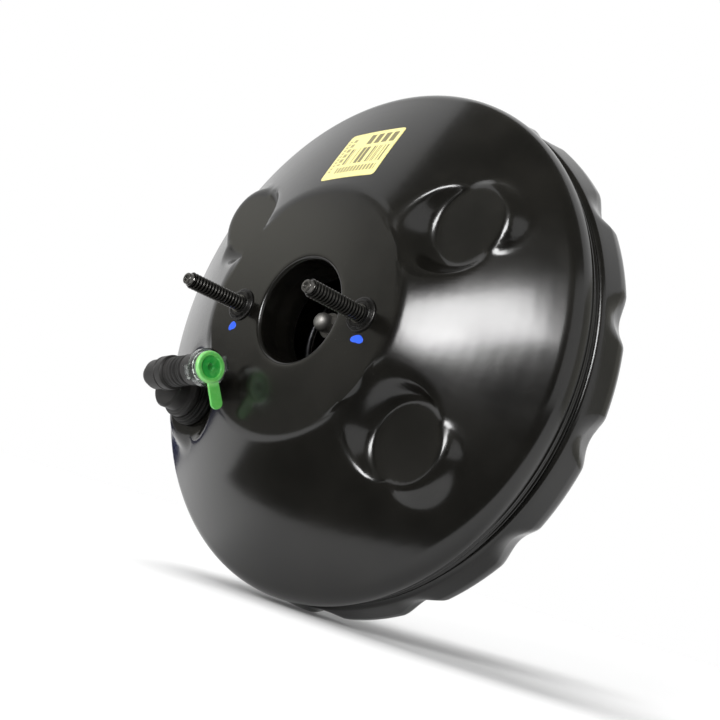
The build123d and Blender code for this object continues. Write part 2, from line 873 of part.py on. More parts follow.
# Check valve: stem, flange and chamber, with the outlet elbow and its hose stop across the top
with BuildPart() as check_valve_body:
    with BuildSketch(valve_section):
        with BuildLine():
            Polyline(
                (0, pad_height - sheet - grommet_bulb),
                (valve_stem_radius, pad_height - sheet - grommet_bulb),
                (valve_stem_radius, grommet_top),
                (valve_flange_radius, grommet_top),
                (valve_flange_radius, valve_flange_top),
                (valve_barrel_radius, valve_flange_top),
                (valve_barrel_radius, chamber_end + valve_roof),
                (0, chamber_end + valve_roof),
                close=True,
            )
        make_face()
    revolve(axis=valve_axis)
    with BuildSketch(outlet.offset(-elbow_back)):
        Circle(elbow_radius)
    extrude(amount=elbow_back + elbow_front)
    with BuildSketch(outlet.offset(elbow_front)):
        Circle(hose_stop_radius)
    extrude(amount=hose_stop_length)
    with BuildSketch(outlet.offset(hose_start)):
        Circle(nozzle_radius)
    extrude(amount=nozzle_length)
    with BuildSketch(outlet.offset(-elbow_back)):
        Circle(outlet_bore)
    extrude(amount=elbow_back + hose_start + nozzle_length, mode=Mode.SUBTRACT)
    revolve(
        turned(
            (0, pad_height - sheet - grommet_bulb),
            (valve_stem_bore, pad_height - sheet - grommet_bulb),
            (valve_stem_bore, chamber_start),
            (valve_chamber_radius, chamber_start),
            (valve_chamber_radius, chamber_end),
            (outlet_bore, chamber_end),
            (outlet_bore, outlet_height),
            (0, outlet_height),
            plane=valve_section,
        ),
        axis=valve_axis,
        mode=Mode.SUBTRACT,
    )

# Valve disc on its seat, and the light spring behind it
disc_back = chamber_start + loose_gap
disc_front = disc_back + valve_disc_thickness
with BuildPart() as check_valve_disc:
    revolve(ring(0, valve_disc_radius, disc_back, disc_front, plane=valve_section), axis=valve_axis)
with BuildPart() as check_valve_spring:
    add(coil(valve_coil_radius, valve_wire, disc_front, chamber_end, valve_turns, valve_x, valve_z))

# Rounded cap that closes the back of the elbow
with BuildPart() as check_valve_cap:
    with BuildSketch(outlet.offset(-elbow_back)):
        Circle(cap_radius)
    extrude(amount=-cap_length)
    fillet(check_valve_cap.edges().sort_by(outlet_axis)[0], cap_round)
    with BuildSketch(outlet.offset(-elbow_back)):
        Circle(outlet_bore)
    extrude(amount=cap_spigot)

# Short ribbed hose between the elbow and the connector
rib_pitch = hose_length / hose_rib_count
with BuildPart() as vacuum_hose:
    with BuildSketch(outlet.offset(hose_start)):
        Circle(hose_radius)
    extrude(amount=hose_length)
    for index in range(hose_rib_count):
        with BuildSketch(outlet.offset(hose_start + (index + 0.5) * rib_pitch - hose_rib_length / 2)):
            Circle(hose_rib_radius)
        extrude(amount=hose_rib_length)
    with BuildSketch(outlet.offset(hose_start)):
        Circle(nozzle_radius)
    extrude(amount=hose_length, mode=Mode.SUBTRACT)

# Quick connector with a spigot in the hose and a socket for the vacuum line
with BuildPart() as quick_connector:
    with BuildSketch(outlet.offset(hose_end - connector_spigot)):
        Circle(nozzle_radius)
    extrude(amount=connector_spigot)
    with BuildSketch(outlet.offset(hose_end)):
        Circle(connector_radius)
    extrude(amount=connector_length)
    with BuildSketch(outlet.offset(hose_end - connector_spigot)):
        Circle(outlet_bore)
    extrude(amount=connector_spigot + connector_length - connector_bore_depth, mode=Mode.SUBTRACT)
    with BuildSketch(outlet.offset(connector_end - connector_bore_depth)):
        Circle(connector_bore)
    extrude(amount=connector_bore_depth, mode=Mode.SUBTRACT)

# Release ring of the connector with two pressing ears
with BuildPart() as connector_retainer:
    with BuildSketch(outlet.offset(connector_end - clip_length)):
        Circle(clip_radius)
        Rectangle(2 * clip_ear_reach, clip_ear_width, rotation=clip_turn)
        Circle(connector_radius, mode=Mode.SUBTRACT)
    extrude(amount=clip_length)

# Transit plug: dished head, shank in the connector and a pull tab that hangs from the head
with BuildPart() as transit_plug:
    with BuildSketch(tab_plane):
        Circle(plug_head_radius)
    extrude(amount=plug_head_thickness)
    chamfer(transit_plug.edges().sort_by(outlet_axis)[-1], plug_rim)
    with BuildSketch(tab_plane.offset(plug_head_thickness)):
        Circle(plug_dish_radius)
    extrude(amount=-plug_dish_depth, mode=Mode.SUBTRACT)
    with BuildSketch(tab_plane.offset(plug_head_thickness - plug_dish_depth)):
        Circle(plug_dimple_radius)
    extrude(amount=-plug_dimple_depth, mode=Mode.SUBTRACT)
    with BuildSketch(tab_plane):
        Circle(connector_bore - running_gap)
    extrude(amount=-plug_shank_length)
    with BuildSketch(tab_plane):
        with BuildLine():
            Polyline(
                (plug_head_radius / 2, -tab_width / 2),
                (tab_length - tab_end_width / 2, -tab_end_width / 2),
            )
            ThreePointArc(
                (tab_length - tab_end_width / 2, -tab_end_width / 2),
                (tab_length, 0),
                (tab_length - tab_end_width / 2, tab_end_width / 2),
            )
            Polyline(
                (tab_length - tab_end_width / 2, tab_end_width / 2),
                (plug_head_radius / 2, tab_width / 2),
                (plug_head_radius / 2, -tab_width / 2),
            )
        make_face()
    extrude(amount=tab_thickness)

pieces = {
    "front_shell": front_shell,
    "rear_shell": rear_shell,
    "front_reinforcement": front_reinforcement,
    "rear_reinforcement": rear_reinforcement,
    "master_cylinder_studs": master_cylinder_studs,
    "stud_collars": stud_collars,
    "firewall_studs": firewall_studs,
    "guide_seal": guide_seal,
    "seal_retainer": seal_retainer,
    "dust_boot": dust_boot,
    "valve_body": valve_body,
    "diaphragm_plate": diaphragm_plate,
    "diaphragm": diaphragm,
    "diaphragm_retainer": diaphragm_retainer,
    "reaction_disc": reaction_disc,
    "output_rod": output_rod,
    "output_rod_tip": output_rod_tip,
    "output_rod_retainer": output_rod_retainer,
    "return_spring": return_spring,
    "stop_key": stop_key,
    "plunger": plunger,
    "input_rod": input_rod,
    "lock_nut": lock_nut,
    "clevis": clevis,
    "poppet_seal": poppet_seal,
    "poppet_retainer": poppet_retainer,
    "poppet_spring": poppet_spring,
    "input_return_spring": input_return_spring,
    "air_filters": air_filters,
    "check_valve_grommet": check_valve_grommet,
    "check_valve_body": check_valve_body,
    "check_valve_disc": check_valve_disc,
    "check_valve_spring": check_valve_spring,
    "check_valve_cap": check_valve_cap,
    "vacuum_hose": vacuum_hose,
    "quick_connector": quick_connector,
    "connector_retainer": connector_retainer,
    "transit_plug": transit_plug,
}
for name, piece in pieces.items():
    piece.part.label = name
    export_step(piece.part, f"parts/{name}.step")
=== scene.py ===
"""The looks of a vacuum brake booster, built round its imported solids."""

from __future__ import annotations

import json
import logging
import math
from collections.abc import Callable, Iterable, Iterator, Sequence
from dataclasses import dataclass, field
from enum import Enum
from functools import cache
from typing import Any

import bmesh
import bpy
from mathutils import Matrix, Vector


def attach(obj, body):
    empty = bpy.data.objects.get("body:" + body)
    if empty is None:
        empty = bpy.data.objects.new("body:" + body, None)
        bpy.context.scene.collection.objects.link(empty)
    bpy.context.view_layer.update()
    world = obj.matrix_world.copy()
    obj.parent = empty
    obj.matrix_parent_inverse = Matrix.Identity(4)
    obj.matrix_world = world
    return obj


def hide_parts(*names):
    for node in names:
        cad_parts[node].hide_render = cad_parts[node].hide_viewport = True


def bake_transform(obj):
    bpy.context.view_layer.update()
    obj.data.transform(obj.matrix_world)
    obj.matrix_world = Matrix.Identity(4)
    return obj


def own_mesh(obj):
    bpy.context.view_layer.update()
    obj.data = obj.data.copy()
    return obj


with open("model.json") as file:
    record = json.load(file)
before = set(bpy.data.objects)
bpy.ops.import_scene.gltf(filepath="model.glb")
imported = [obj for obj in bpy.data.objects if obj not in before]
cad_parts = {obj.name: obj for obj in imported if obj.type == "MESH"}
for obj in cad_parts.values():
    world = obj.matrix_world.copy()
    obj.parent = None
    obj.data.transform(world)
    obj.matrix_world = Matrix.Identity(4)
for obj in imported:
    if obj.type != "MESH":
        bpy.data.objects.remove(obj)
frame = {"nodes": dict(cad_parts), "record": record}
log = logging.getLogger("booster")

MM = 0.001
AXIS = Vector((0.0, 1.0, 0.0))
SHARP = 32.0  # degrees from which an edge stays sharp, or is rounded
WELD = 2e-6  # metres within which two points of a mesh are one
SEAM = 1e-6  # the same for the seam of a turned mesh
SLIVER = 1e-7  # metres up to which an edge is a sliver
FLAT = 1.0  # degrees up to which two faces are one flat
WARM = (1.0, 0.985, 0.89)
BLUE = (0.35, 0.4, 1.0)
Pair = tuple[float, float]
Profile = list[Pair]
Triple = tuple[float, float, float]
Colour = tuple[float, float, float, float]
Mesh = bmesh.types.BMesh
Piece = bpy.types.Object
Material = bpy.types.Material


# Shader graphs


def operator(operation: str, reflected: bool = False) -> Callable[..., Wire]:
    """Make the method of a Wire for one operation.

    Args:
        operation: The Math node's operation.
        reflected: Whether the Wire is the last value instead of the first.

    Returns:
        The method.
    """

    def method(wire: Wire, *others: Any) -> Wire:
        """Add the Math node."""
        values = (*others, wire) if reflected else (wire, *others)
        return wire.graph.add("ShaderNodeMath", {"operation": operation}, dict(enumerate(values)))

    return method


class Wire:
    """A node socket that takes part in Python arithmetic."""

    def __init__(self, graph: Graph, socket: bpy.types.NodeSocket) -> None:
        """Keep the graph and the output socket that this value comes from."""
        self.graph = graph
        self.socket = socket

    __add__, __radd__ = operator("ADD"), operator("ADD", True)
    __sub__, __rsub__ = operator("SUBTRACT"), operator("SUBTRACT", True)
    __mul__, __truediv__ = operator("MULTIPLY"), operator("DIVIDE")
    __abs__, root = operator("ABSOLUTE"), operator("SQRT")
    __gt__, __lt__, larger = operator("GREATER_THAN"), operator("LESS_THAN"), operator("MAXIMUM")
    rounded_to, wrapped = operator("SNAP"), operator("WRAP")

    def ramp(self, low: float, high: float) -> Wire:
        """Scale this value so that low gives 0 and high gives 1.

        Args:
            low: The value that gives 0.
            high: The value that gives 1.

        Returns:
            A value between 0 and 1.
        """
        return ((self - low) / (high - low)).clamped()

    def clamped(self) -> Wire:
        """This value kept between 0 and 1."""
        return self.graph.add("ShaderNodeClamp", {}, {"Value": self})


class Graph:
    """The node tree of one material or world."""

    def __init__(self, name: str, world: bool = False) -> None:
        """Start with an empty tree.

        Args:
            name: The name of the material or world.
            world: Whether it is a world.
        """
        self.owner = (bpy.data.worlds if world else bpy.data.materials).new(name)
        self.owner.use_nodes = True
        self.tree = self.owner.node_tree
        self.tree.nodes.clear()

    def add(self, kind: str, settings: dict[str, Any], inputs: dict[Any, Any], output: int | str | None = 0) -> Wire:
        """Add one node.

        Args:
            kind: The node's type.
            settings: Its properties, set before its sockets.
            inputs: Values, Wires or sockets by the name or number of the node's input.
            output: The name or number of the output that is returned, or None for a node without one.

        Returns:
            The chosen output.
        """
        node = self.tree.nodes.new(kind)
        for name, value in settings.items():
            setattr(node, name, value)
        for key, value in inputs.items():
            if isinstance(value, Wire):
                self.tree.links.new(value.socket, node.inputs[key])
            else:
                node.inputs[key].default_value = value
        return Wire(self, None if output is None else node.outputs[output])

    def place(self, kind: str = "Object") -> Wire:
        """The point on the piece: in the object's own metres, or on its flat map where kind is UV."""
        return self.add("ShaderNodeTexCoord", {}, {}, kind)

    def parts(self, vector: Wire) -> tuple[Wire, ...]:
        """The X, Y and Z of a vector."""
        node = self.add("ShaderNodeSeparateXYZ", {}, {0: vector}).socket.node
        return tuple(Wire(self, output) for output in node.outputs)

    def grain(self, size: float, detail: float = 3.0, stretch: Triple = (1, 1, 1)) -> Wire:
        """Cloudy noise on the piece.

        Args:
            size: The size of one patch in metres.
            detail: How much fine detail it has.
            stretch: How much each axis is sped up.

        Returns:
            A value about 0.5.
        """
        place = self.add("ShaderNodeMapping", {}, {"Vector": self.place(), "Scale": stretch})
        return self.add("ShaderNodeTexNoise", {}, {"Vector": place, "Scale": 1 / size, "Detail": detail})

    def mixed(self, share: Wire | float, first: Any, second: Any) -> Wire:
        """Blend two colours.

        Args:
            share: How much of the second colour there is.
            first: A colour or a Wire.
            second: A colour or a Wire.

        Returns:
            The blended colour.
        """
        return self.add("ShaderNodeMix", {"data_type": "RGBA"}, {0: share, 6: first, 7: second}, 2)

    def relief(self, height: Wire, depth: float) -> Wire:
        """Turn a height into a normal.

        Args:
            height: The height between 0 and 1.
            depth: What 1 stands for, in metres.

        Returns:
            The normal.
        """
        return self.add("ShaderNodeBump", {}, {"Height": height, "Distance": depth, "Strength": 1.0})

    def close(self, shader: Wire, output: str = "ShaderNodeOutputMaterial") -> Any:
        """Lead the last shader to the output.

        Args:
            shader: The shader.
            output: The output node's type.

        Returns:
            The material or world.
        """
        self.add(output, {}, {"Surface": shader}, None)
        return self.owner

    def finish(self, inputs: dict[str, Any]) -> Material:
        """Close the graph with the one shader of the material.

        Args:
            inputs: The shader's values and Wires by the name of its input.

        Returns:
            The material.
        """
        return self.close(self.add("ShaderNodeBsdfPrincipled", {}, inputs))


def grey(value: float) -> Colour:
    """A neutral colour of one level."""
    return (value, value, value, 1.0)


@dataclass(frozen=True)
class GlossEnamel:
    """Deep black gloss enamel over pressed steel, with a faint ripple and dust."""

    slot: str = "black_paint"
    colour: Colour = (0.0026, 0.0024, 0.0019, 1.0)
    dust: Colour = (0.0062, 0.0057, 0.0046, 1.0)

    def material(self) -> Material:
        """Build the enamel."""
        graph = Graph(self.slot)
        ripple = graph.grain(3.2 * MM, 1.0)
        haze = graph.grain(26 * MM, 5.0)
        specks = graph.grain(0.9 * MM, 2.0).ramp(0.66, 0.8)
        colour = graph.mixed(haze.ramp(0.35, 0.75), self.colour, self.dust)
        colour = graph.mixed(specks * 0.25, colour, (0.04, 0.037, 0.034, 1.0))
        return graph.finish({
            "Base Color": colour,
            "Roughness": 0.17 + haze.ramp(0.3, 0.8) * 0.06 + specks * 0.1,
            "IOR": 1.5,
            "Coat Weight": 0.08,
            "Coat Roughness": 0.08,
            "Normal": graph.relief(ripple, 0.012 * MM),
        })


@dataclass(frozen=True)
class Metal:
    """Bare or coated steel with tool marks along or round the axis."""

    slot: str
    colour: Colour
    shade: Colour
    roughness: float
    metallic: float = 1.0
    marks: float = 0.02
    stretch: Triple = (1.0, 9.0, 1.0)

    def material(self) -> Material:
        """Build the metal."""
        graph = Graph(self.slot)
        patches = graph.grain(5 * MM, 4.0)
        lines = graph.grain(2.2 * MM, 3.0, self.stretch)
        return graph.finish({
            "Base Color": graph.mixed(patches.ramp(0.35, 0.7), self.colour, self.shade),
            "Roughness": self.roughness + lines.ramp(0.3, 0.7) * 0.12,
            "Metallic": self.metallic,
            "Normal": graph.relief(lines, self.marks * MM),
        })


@dataclass(frozen=True)
class StudSteel:
    """Black steel of threaded studs: dark in the grooves as painted shade, bright on the crests as a painted
    highlight.
    """

    place: Pair
    slot: str = "black_steel"
    # Painted shade in the grooves of the thread
    groove: Colour = (0.003, 0.003, 0.003, 1.0)
    # Painted highlight on the crests, the shank, the head and the tip face
    crest: Colour = (0.12, 0.117, 0.11, 1.0)
    bright: Pair = (3.45, 3.92)
    # Radius in millimetres below which the tip face also gets the painted highlight
    point: float = 3.2

    def material(self) -> Material:
        """Build the steel, with painted shade and painted highlight set by the distance from the axis of the nearest
        stud.
        """
        graph = Graph(f"{self.slot}_thread")
        x, _, z = graph.parts(graph.place())
        across = abs(x) - self.place[0] * MM
        up = abs(z) - self.place[1] * MM
        reach = (across * across + up * up).root()
        start, full = self.bright
        # high is the share of painted highlight: 1 on the crests, shank, head and tip face, 0 in the grooves
        high = (reach.ramp(start * MM, full * MM) + (reach < self.point * MM)).clamped()
        wear = graph.grain(1.3 * MM, 3.0)
        return graph.finish({
            "Base Color": graph.mixed(high * (0.55 + wear * 0.6), self.groove, self.crest),
            "Roughness": 0.5 - high * 0.33,
            "Metallic": 0.9,
            "Normal": graph.relief(wear, 0.05 * MM),
        })


@dataclass(frozen=True)
class Moulded:
    """Moulded plastic or rubber: opaque, or milky where light passes in."""

    slot: str
    colour: Colour
    shade: Colour
    roughness: float
    clear: float = 0.0
    shine: float = 0.5
    patch: Pair = (6.0, 3.0)
    spread: Pair = (0.35, 0.7)
    haze: float = 0.08
    grain: float = 0.6
    bump: float = 0.02

    def material(self) -> Material:
        """Build the plastic or rubber."""
        graph = Graph(self.slot)
        size, detail = self.patch
        patches = graph.grain(size * MM, detail)
        return graph.finish({
            "Base Color": graph.mixed(patches.ramp(*self.spread), self.colour, self.shade),
            "Roughness": self.roughness + patches * self.haze,
            "Normal": graph.relief(graph.grain(self.grain * MM, 2.0), self.bump * MM),
            "Transmission Weight": self.clear,
            "Specular IOR Level": self.shine,
        })


@dataclass(frozen=True)
class SoftPlug:
    """Soft green polyethylene: pale where it is thin, deepened by painted shade in the dish of the head, with a
    painted highlight round the rim of the head.
    """

    slot: str = "green_plastic"
    middle: Triple = (-30.6, -119.7, -36.7)
    # Painted shade: the deep green in the middle of the dish
    dish_shade: Colour = (0.008, 0.2, 0.024, 1.0)
    pale: Colour = (0.085, 0.4, 0.07, 1.0)
    # Painted highlight colour for the rim of the head, also mixed in at random patches
    edge: Colour = (0.24, 0.58, 0.2, 1.0)

    def material(self) -> Material:
        """Build the plastic, ring by ring round the middle of the head."""
        graph = Graph(self.slot)
        middle = tuple(value * MM for value in self.middle)
        reach = graph.add("ShaderNodeVectorMath", {"operation": "DISTANCE"}, {0: graph.place(), 1: middle}, "Value")
        patches = graph.grain(3 * MM, 3.0)
        reach = reach + patches * (0.9 * MM)
        # Painted shade darkens the dish towards its middle
        dish = graph.mixed(reach.ramp(2.2 * MM, 6.4 * MM), self.dish_shade, (0.014, 0.28, 0.034, 1.0))
        colour = graph.mixed(reach.ramp(5.6 * MM, 6.6 * MM), dish, self.pale)
        # Painted highlight in a band round the rim of the head
        rim = reach.ramp(7.3 * MM, 8.2 * MM) * (1.0 - reach.ramp(8.6 * MM, 10.4 * MM))
        colour = graph.mixed(rim * 0.8, colour, self.edge)
        return graph.finish({
            "Base Color": graph.mixed(patches.ramp(0.45, 0.8) * 0.3, colour, self.edge),
            "Roughness": 0.3 + patches * 0.1,
            "Subsurface Weight": 0.25,
            "Subsurface Scale": 1.5 * MM,
            "Normal": graph.relief(patches, 0.03 * MM),
        })


@dataclass(frozen=True)
class FilterFoam:
    """Open foam with pores, painted darker in the pores as shade."""

    slot: str = "filter_foam"

    def material(self) -> Material:
        """Build the foam."""
        graph = Graph(self.slot)
        cells = graph.add("ShaderNodeTexVoronoi", {}, {"Vector": graph.place(), "Scale": 1 / (1.1 * MM)}, "Distance")
        pores = cells.ramp(0.15, 0.5)
        # Painted shade: the middle of each pore is darker than the cell walls
        return graph.finish({
            "Base Color": graph.mixed(pores, grey(0.006), grey(0.05)),
            "Roughness": 0.9,
            "Normal": graph.relief(pores, 0.4 * MM),
        })


@dataclass(frozen=True)
class LabelPaper:
    """Cream sticker with plain bars and blocks in place of words."""

    slot: str = "label_paper"
    paper: Colour = (0.7, 0.63, 0.27, 1.0)
    ink: Colour = (0.06, 0.05, 0.03, 1.0)

    def material(self) -> Material:
        """Build the printed paper, on the label's own map of 0 to 1 each way."""
        graph = Graph(self.slot)
        across, up, _ = graph.parts(graph.place("UV"))

        def block(left: float, right: float, low: float, high: float) -> Wire:
            """1 inside a rectangle of the label, and 0 outside."""
            return (across > left) * (across < right) * (up > low) * (up < high)

        bar_noise = graph.add(
            "ShaderNodeTexWhiteNoise", {"noise_dimensions": "1D"}, {"W": (across * 64.0).rounded_to(1.0)}
        )
        bars = block(0.24, 0.92, 0.3, 0.64) * (bar_noise > 0.42)
        wide_line = block(0.4, 0.93, 0.71, 0.92) * ((across * 7.5).wrapped(1.0, 0.0) > 0.3)
        low_line = block(0.2, 0.92, 0.12, 0.24) * ((across * 17.0).wrapped(1.0, 0.0) > 0.34)
        side_line = block(0.05, 0.1, 0.16, 0.88) * ((up * 15.0).wrapped(1.0, 0.0) > 0.4)
        next_line = block(0.13, 0.2, 0.3, 0.88) * ((up * 9.0).wrapped(1.0, 0.0) > 0.3)
        ink = (bars + wide_line + low_line * 0.85 + side_line * 0.7 + next_line * 0.8).clamped()
        fibre = graph.grain(2.5 * MM, 4.0)
        paper = graph.mixed(fibre.ramp(0.3, 0.8) * 0.25, self.paper, (0.62, 0.55, 0.22, 1.0))
        return graph.finish({
            "Base Color": graph.mixed(ink * 0.85, paper, self.ink),
            "Roughness": 0.5 - ink * 0.08,
            "Normal": graph.relief(fibre, 0.02 * MM),
        })


@dataclass(frozen=True)
class MarkingPaint:
    """Thick blue dab of marking paint."""

    slot: str = "marking_paint"

    def material(self) -> Material:
        """Build the paint."""
        graph = Graph(self.slot)
        patches = graph.grain(1.6 * MM, 3.0)
        return graph.finish({
            "Base Color": graph.mixed(patches, (0.012, 0.07, 0.62, 1.0), (0.02, 0.12, 0.85, 1.0)),
            "Roughness": 0.3 + patches * 0.15,
            "Normal": graph.relief(patches, 0.15 * MM),
        })


class Finish(Enum):
    """The finishes of the booster."""

    ENAMEL = GlossEnamel()
    RUBBER = Moulded(
        "black_rubber", (0.006, 0.0057, 0.0054, 1.0), (0.02, 0.019, 0.018, 1.0), 0.52, shine=0.26,
        patch=(9.0, 4.0), spread=(0.42, 0.75), haze=0.16, grain=0.45, bump=0.05,
    )
    ZINC = Metal("zinc_steel", (0.62, 0.58, 0.49, 1.0), (0.44, 0.42, 0.38, 1.0), 0.3)
    BLACK_STEEL = Metal("black_steel", (0.03, 0.029, 0.028, 1.0), (0.014, 0.0135, 0.013, 1.0), 0.2, 0.8)
    FRONT_STUD = StudSteel((41.5, 0.0))
    REAR_STUD = StudSteel((38.0, 38.0))
    MACHINED = Metal("machined_steel", (0.3, 0.29, 0.275, 1.0), (0.2, 0.195, 0.185, 1.0), 0.28)
    POLISHED = Metal("polished_steel", (0.4, 0.39, 0.37, 1.0), (0.28, 0.27, 0.26, 1.0), 0.5, marks=0.004)
    SPRING = Metal("spring_steel", (0.06, 0.06, 0.064, 1.0), (0.03, 0.03, 0.032, 1.0), 0.32)
    RESIN = Moulded("moulded_resin", (0.06, 0.05, 0.042, 1.0), (0.035, 0.03, 0.026, 1.0), 0.42)
    BLACK_NYLON = Moulded("black_plastic", (0.013, 0.0125, 0.012, 1.0), (0.022, 0.021, 0.02, 1.0), 0.42, shine=0.3)
    MILKY_NYLON = Moulded("clear_plastic", (0.86, 0.93, 0.88, 1.0), (0.7, 0.8, 0.73, 1.0), 0.07, clear=1.0)
    GREEN = SoftPlug()
    FOAM = FilterFoam()
    LABEL = LabelPaper()
    MARKING = MarkingPaint()


@cache
def dressing(finish: Finish) -> Material:
    """The material of a finish, made once."""
    return finish.value.material()


# Shapes


def round_corners(corners: Sequence[tuple[float, ...]], steps: int = 5) -> Profile:
    """Draw an open profile with rounded corners.

    Args:
        corners: Points of a radius and a height, each with the radius of its rounding as a third number.
        steps: How many points each rounding gets.

    Returns:
        The points of the profile.
    """
    points: Profile = []
    last = len(corners) - 1
    for index, corner in enumerate(corners):
        here = Vector(corner[:2])
        radius = corner[2] if len(corner) > 2 else 0.0
        if index in (0, last) or radius <= 0:
            points.append((here.x, here.y))
            continue
        back = (Vector(corners[index - 1][:2]) - here).normalized()
        ahead = (Vector(corners[index + 1][:2]) - here).normalized()
        half = back.angle(ahead) / 2
        reach = radius / math.tan(half)
        centre = here + (back + ahead).normalized() * (radius / math.sin(half))
        start = here + back * reach - centre
        turn = start.angle_signed(here + ahead * reach - centre)
        for step in range(steps + 1):
            spoke = start.copy()
            spoke.rotate(Matrix.Rotation(-turn * step / steps, 2))
            points.append(tuple(centre + spoke))
    return points


def spaced(profile: Profile, gap: float) -> Profile:
    """Add points to a profile wherever two neighbours are far apart.

    Args:
        profile: The points to fill in.
        gap: The widest distance that is left.

    Returns:
        The closer profile.
    """
    points: Profile = [profile[0]]
    for (r0, h0), (r1, h1) in zip(profile, profile[1:]):
        parts = max(1, math.ceil(math.hypot(r1 - r0, h1 - h0) / gap))
        for part in range(1, parts + 1):
            points.append((r0 + (r1 - r0) * part / parts, h0 + (h1 - h0) * part / parts))
    return points


def spun(profile: Profile, steps: int, closed: bool = True) -> Mesh:
    """Turn a profile once round the booster's axis.

    Args:
        profile: Radii and heights in millimetres, heights counted forward from the mounting face.
        steps: How many facets there are round the axis.
        closed: Whether the last point joins the first one.

    Returns:
        The turned mesh, in metres.
    """
    bm = bmesh.new()
    verts = [bm.verts.new((radius * MM, -height * MM, 0.0)) for radius, height in profile]
    pairs = list(zip(verts, verts[1:]))
    if closed:
        pairs.append((verts[-1], verts[0]))
    edges = [bm.edges.new(pair) for pair in pairs]
    bmesh.ops.spin(
        bm, geom=verts + edges, cent=(0, 0, 0), axis=AXIS, dvec=(0, 0, 0), angle=2 * math.pi, steps=steps,
        use_merge=True, use_duplicate=False,
    )
    bmesh.ops.remove_doubles(bm, verts=bm.verts, dist=SEAM)
    bmesh.ops.recalc_face_normals(bm, faces=bm.faces)
    return bm


def linked(name: str, bm: Mesh, material: Material) -> Piece:
    """Put a mesh into the scene.

    Args:
        name: The object's name.
        bm: The mesh, which is used up.
        material: What it is dressed in.

    Returns:
        The object, at the origin.
    """
    mesh = bpy.data.meshes.new(name)
    bm.to_mesh(mesh)
    bm.free()
    mesh.materials.append(material)
    piece = bpy.data.objects.new(name, mesh)
    bpy.context.scene.collection.objects.link(piece)
    return piece


def to_object(name: str, bm: Mesh, finish: Finish, angle: float = SHARP) -> Piece:
    """Make a finished, smoothly shaded object of a mesh.

    Args:
        name: The object's name.
        bm: The mesh, which is used up.
        finish: What it is dressed in.
        angle: The angle in degrees from which an edge stays sharp.

    Returns:
        The object, at the origin.
    """
    limit = math.radians(angle)
    for face in bm.faces:
        face.smooth = True
    for edge in bm.edges:
        edge.smooth = len(edge.link_faces) != 2 or edge.calc_face_angle(0.0) < limit
    piece = linked(name, bm, dressing(finish))
    return piece


def smooth_min(a: float, b: float, width: float) -> float:
    """The smaller of two numbers, with a rounded change from one to the other."""
    overlap = max(width - abs(a - b), 0.0) / width
    return min(a, b) - overlap * overlap * width / 4


def basis(origin: Vector, along: Vector, hint: Vector) -> Matrix:
    """A frame whose axis lies along the booster's turned axis.

    Args:
        origin: Where the frame's origin goes, in metres.
        along: The direction that takes the place of forward, -Y.
        hint: A direction near which the frame's X goes.

    Returns:
        The matrix that moves a turned mesh there.
    """
    y = -along.normalized()
    x = (hint - y * hint.dot(y)).normalized()
    z = x.cross(y)
    return Matrix.Translation(origin) @ Matrix((x, y, z)).transposed().to_4x4()


def spots(bm: Mesh) -> Iterator[tuple[bmesh.types.BMVert, float, float]]:
    """Each point of a turned mesh with its radius and its height in millimetres."""
    for vert in bm.verts:
        yield vert, math.hypot(vert.co.x, vert.co.z) / MM, -vert.co.y / MM


@dataclass
class SubAssembly:
    """A group of pieces that belong together."""

    pieces: list[Piece] = field(default_factory=list, init=False)

    def keep(self, piece: Piece, body: str, *nodes: str) -> Piece:
        """Let a piece ride on a body, and stand for the nodes it shows.

        Args:
            piece: The piece.
            body: The body that carries it.
            nodes: The solids that it takes the place of.

        Returns:
            The same piece.
        """
        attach(piece, body)
        if nodes:
            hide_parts(*nodes)
        self.pieces.append(piece)
        return piece

    def bent(self, piece: Piece, start: float, end: float, *nodes: str) -> None:
        """Keep a soft piece in place, with its placement baked into its mesh, and stand for nodes.

        Args:
            piece: The piece.
            start: A depth in millimetres; not used.
            end: A depth in millimetres; not used.
            nodes: The solids that it takes the place of.
        """
        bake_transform(piece)
        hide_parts(*nodes)
        self.pieces.append(piece)

    def refined(self, node: str, body: str, finish: Finish, width: float) -> Piece:
        """Take the place of a node by a joined and softened copy of its own mesh.

        Args:
            node: The node's name.
            body: The body that carries it.
            finish: What the copy is dressed in.
            width: The rounding of its edges in millimetres, and 0 for none.

        Returns:
            The copy.
        """
        bm = bmesh.new()
        bm.from_mesh(frame["nodes"][node].data)
        bmesh.ops.remove_doubles(bm, verts=bm.verts, dist=WELD)
        bmesh.ops.dissolve_degenerate(bm, edges=bm.edges, dist=SLIVER)
        bmesh.ops.dissolve_limit(
            bm, angle_limit=math.radians(FLAT), use_dissolve_boundaries=False, verts=bm.verts, edges=bm.edges
        )
        piece = to_object(f"{node}_refined", bm, finish)
        if width > 0:
            bevel = piece.modifiers.new("soft edges", "BEVEL")
            bevel.width = width * MM
            bevel.segments = 2
            bevel.limit_method = "ANGLE"
            bevel.angle_limit = math.radians(SHARP)
            bevel.harden_normals = True
        return self.keep(piece, body, node)

    def build(self) -> None:
        """Make the pieces of the group."""
        raise NotImplementedError


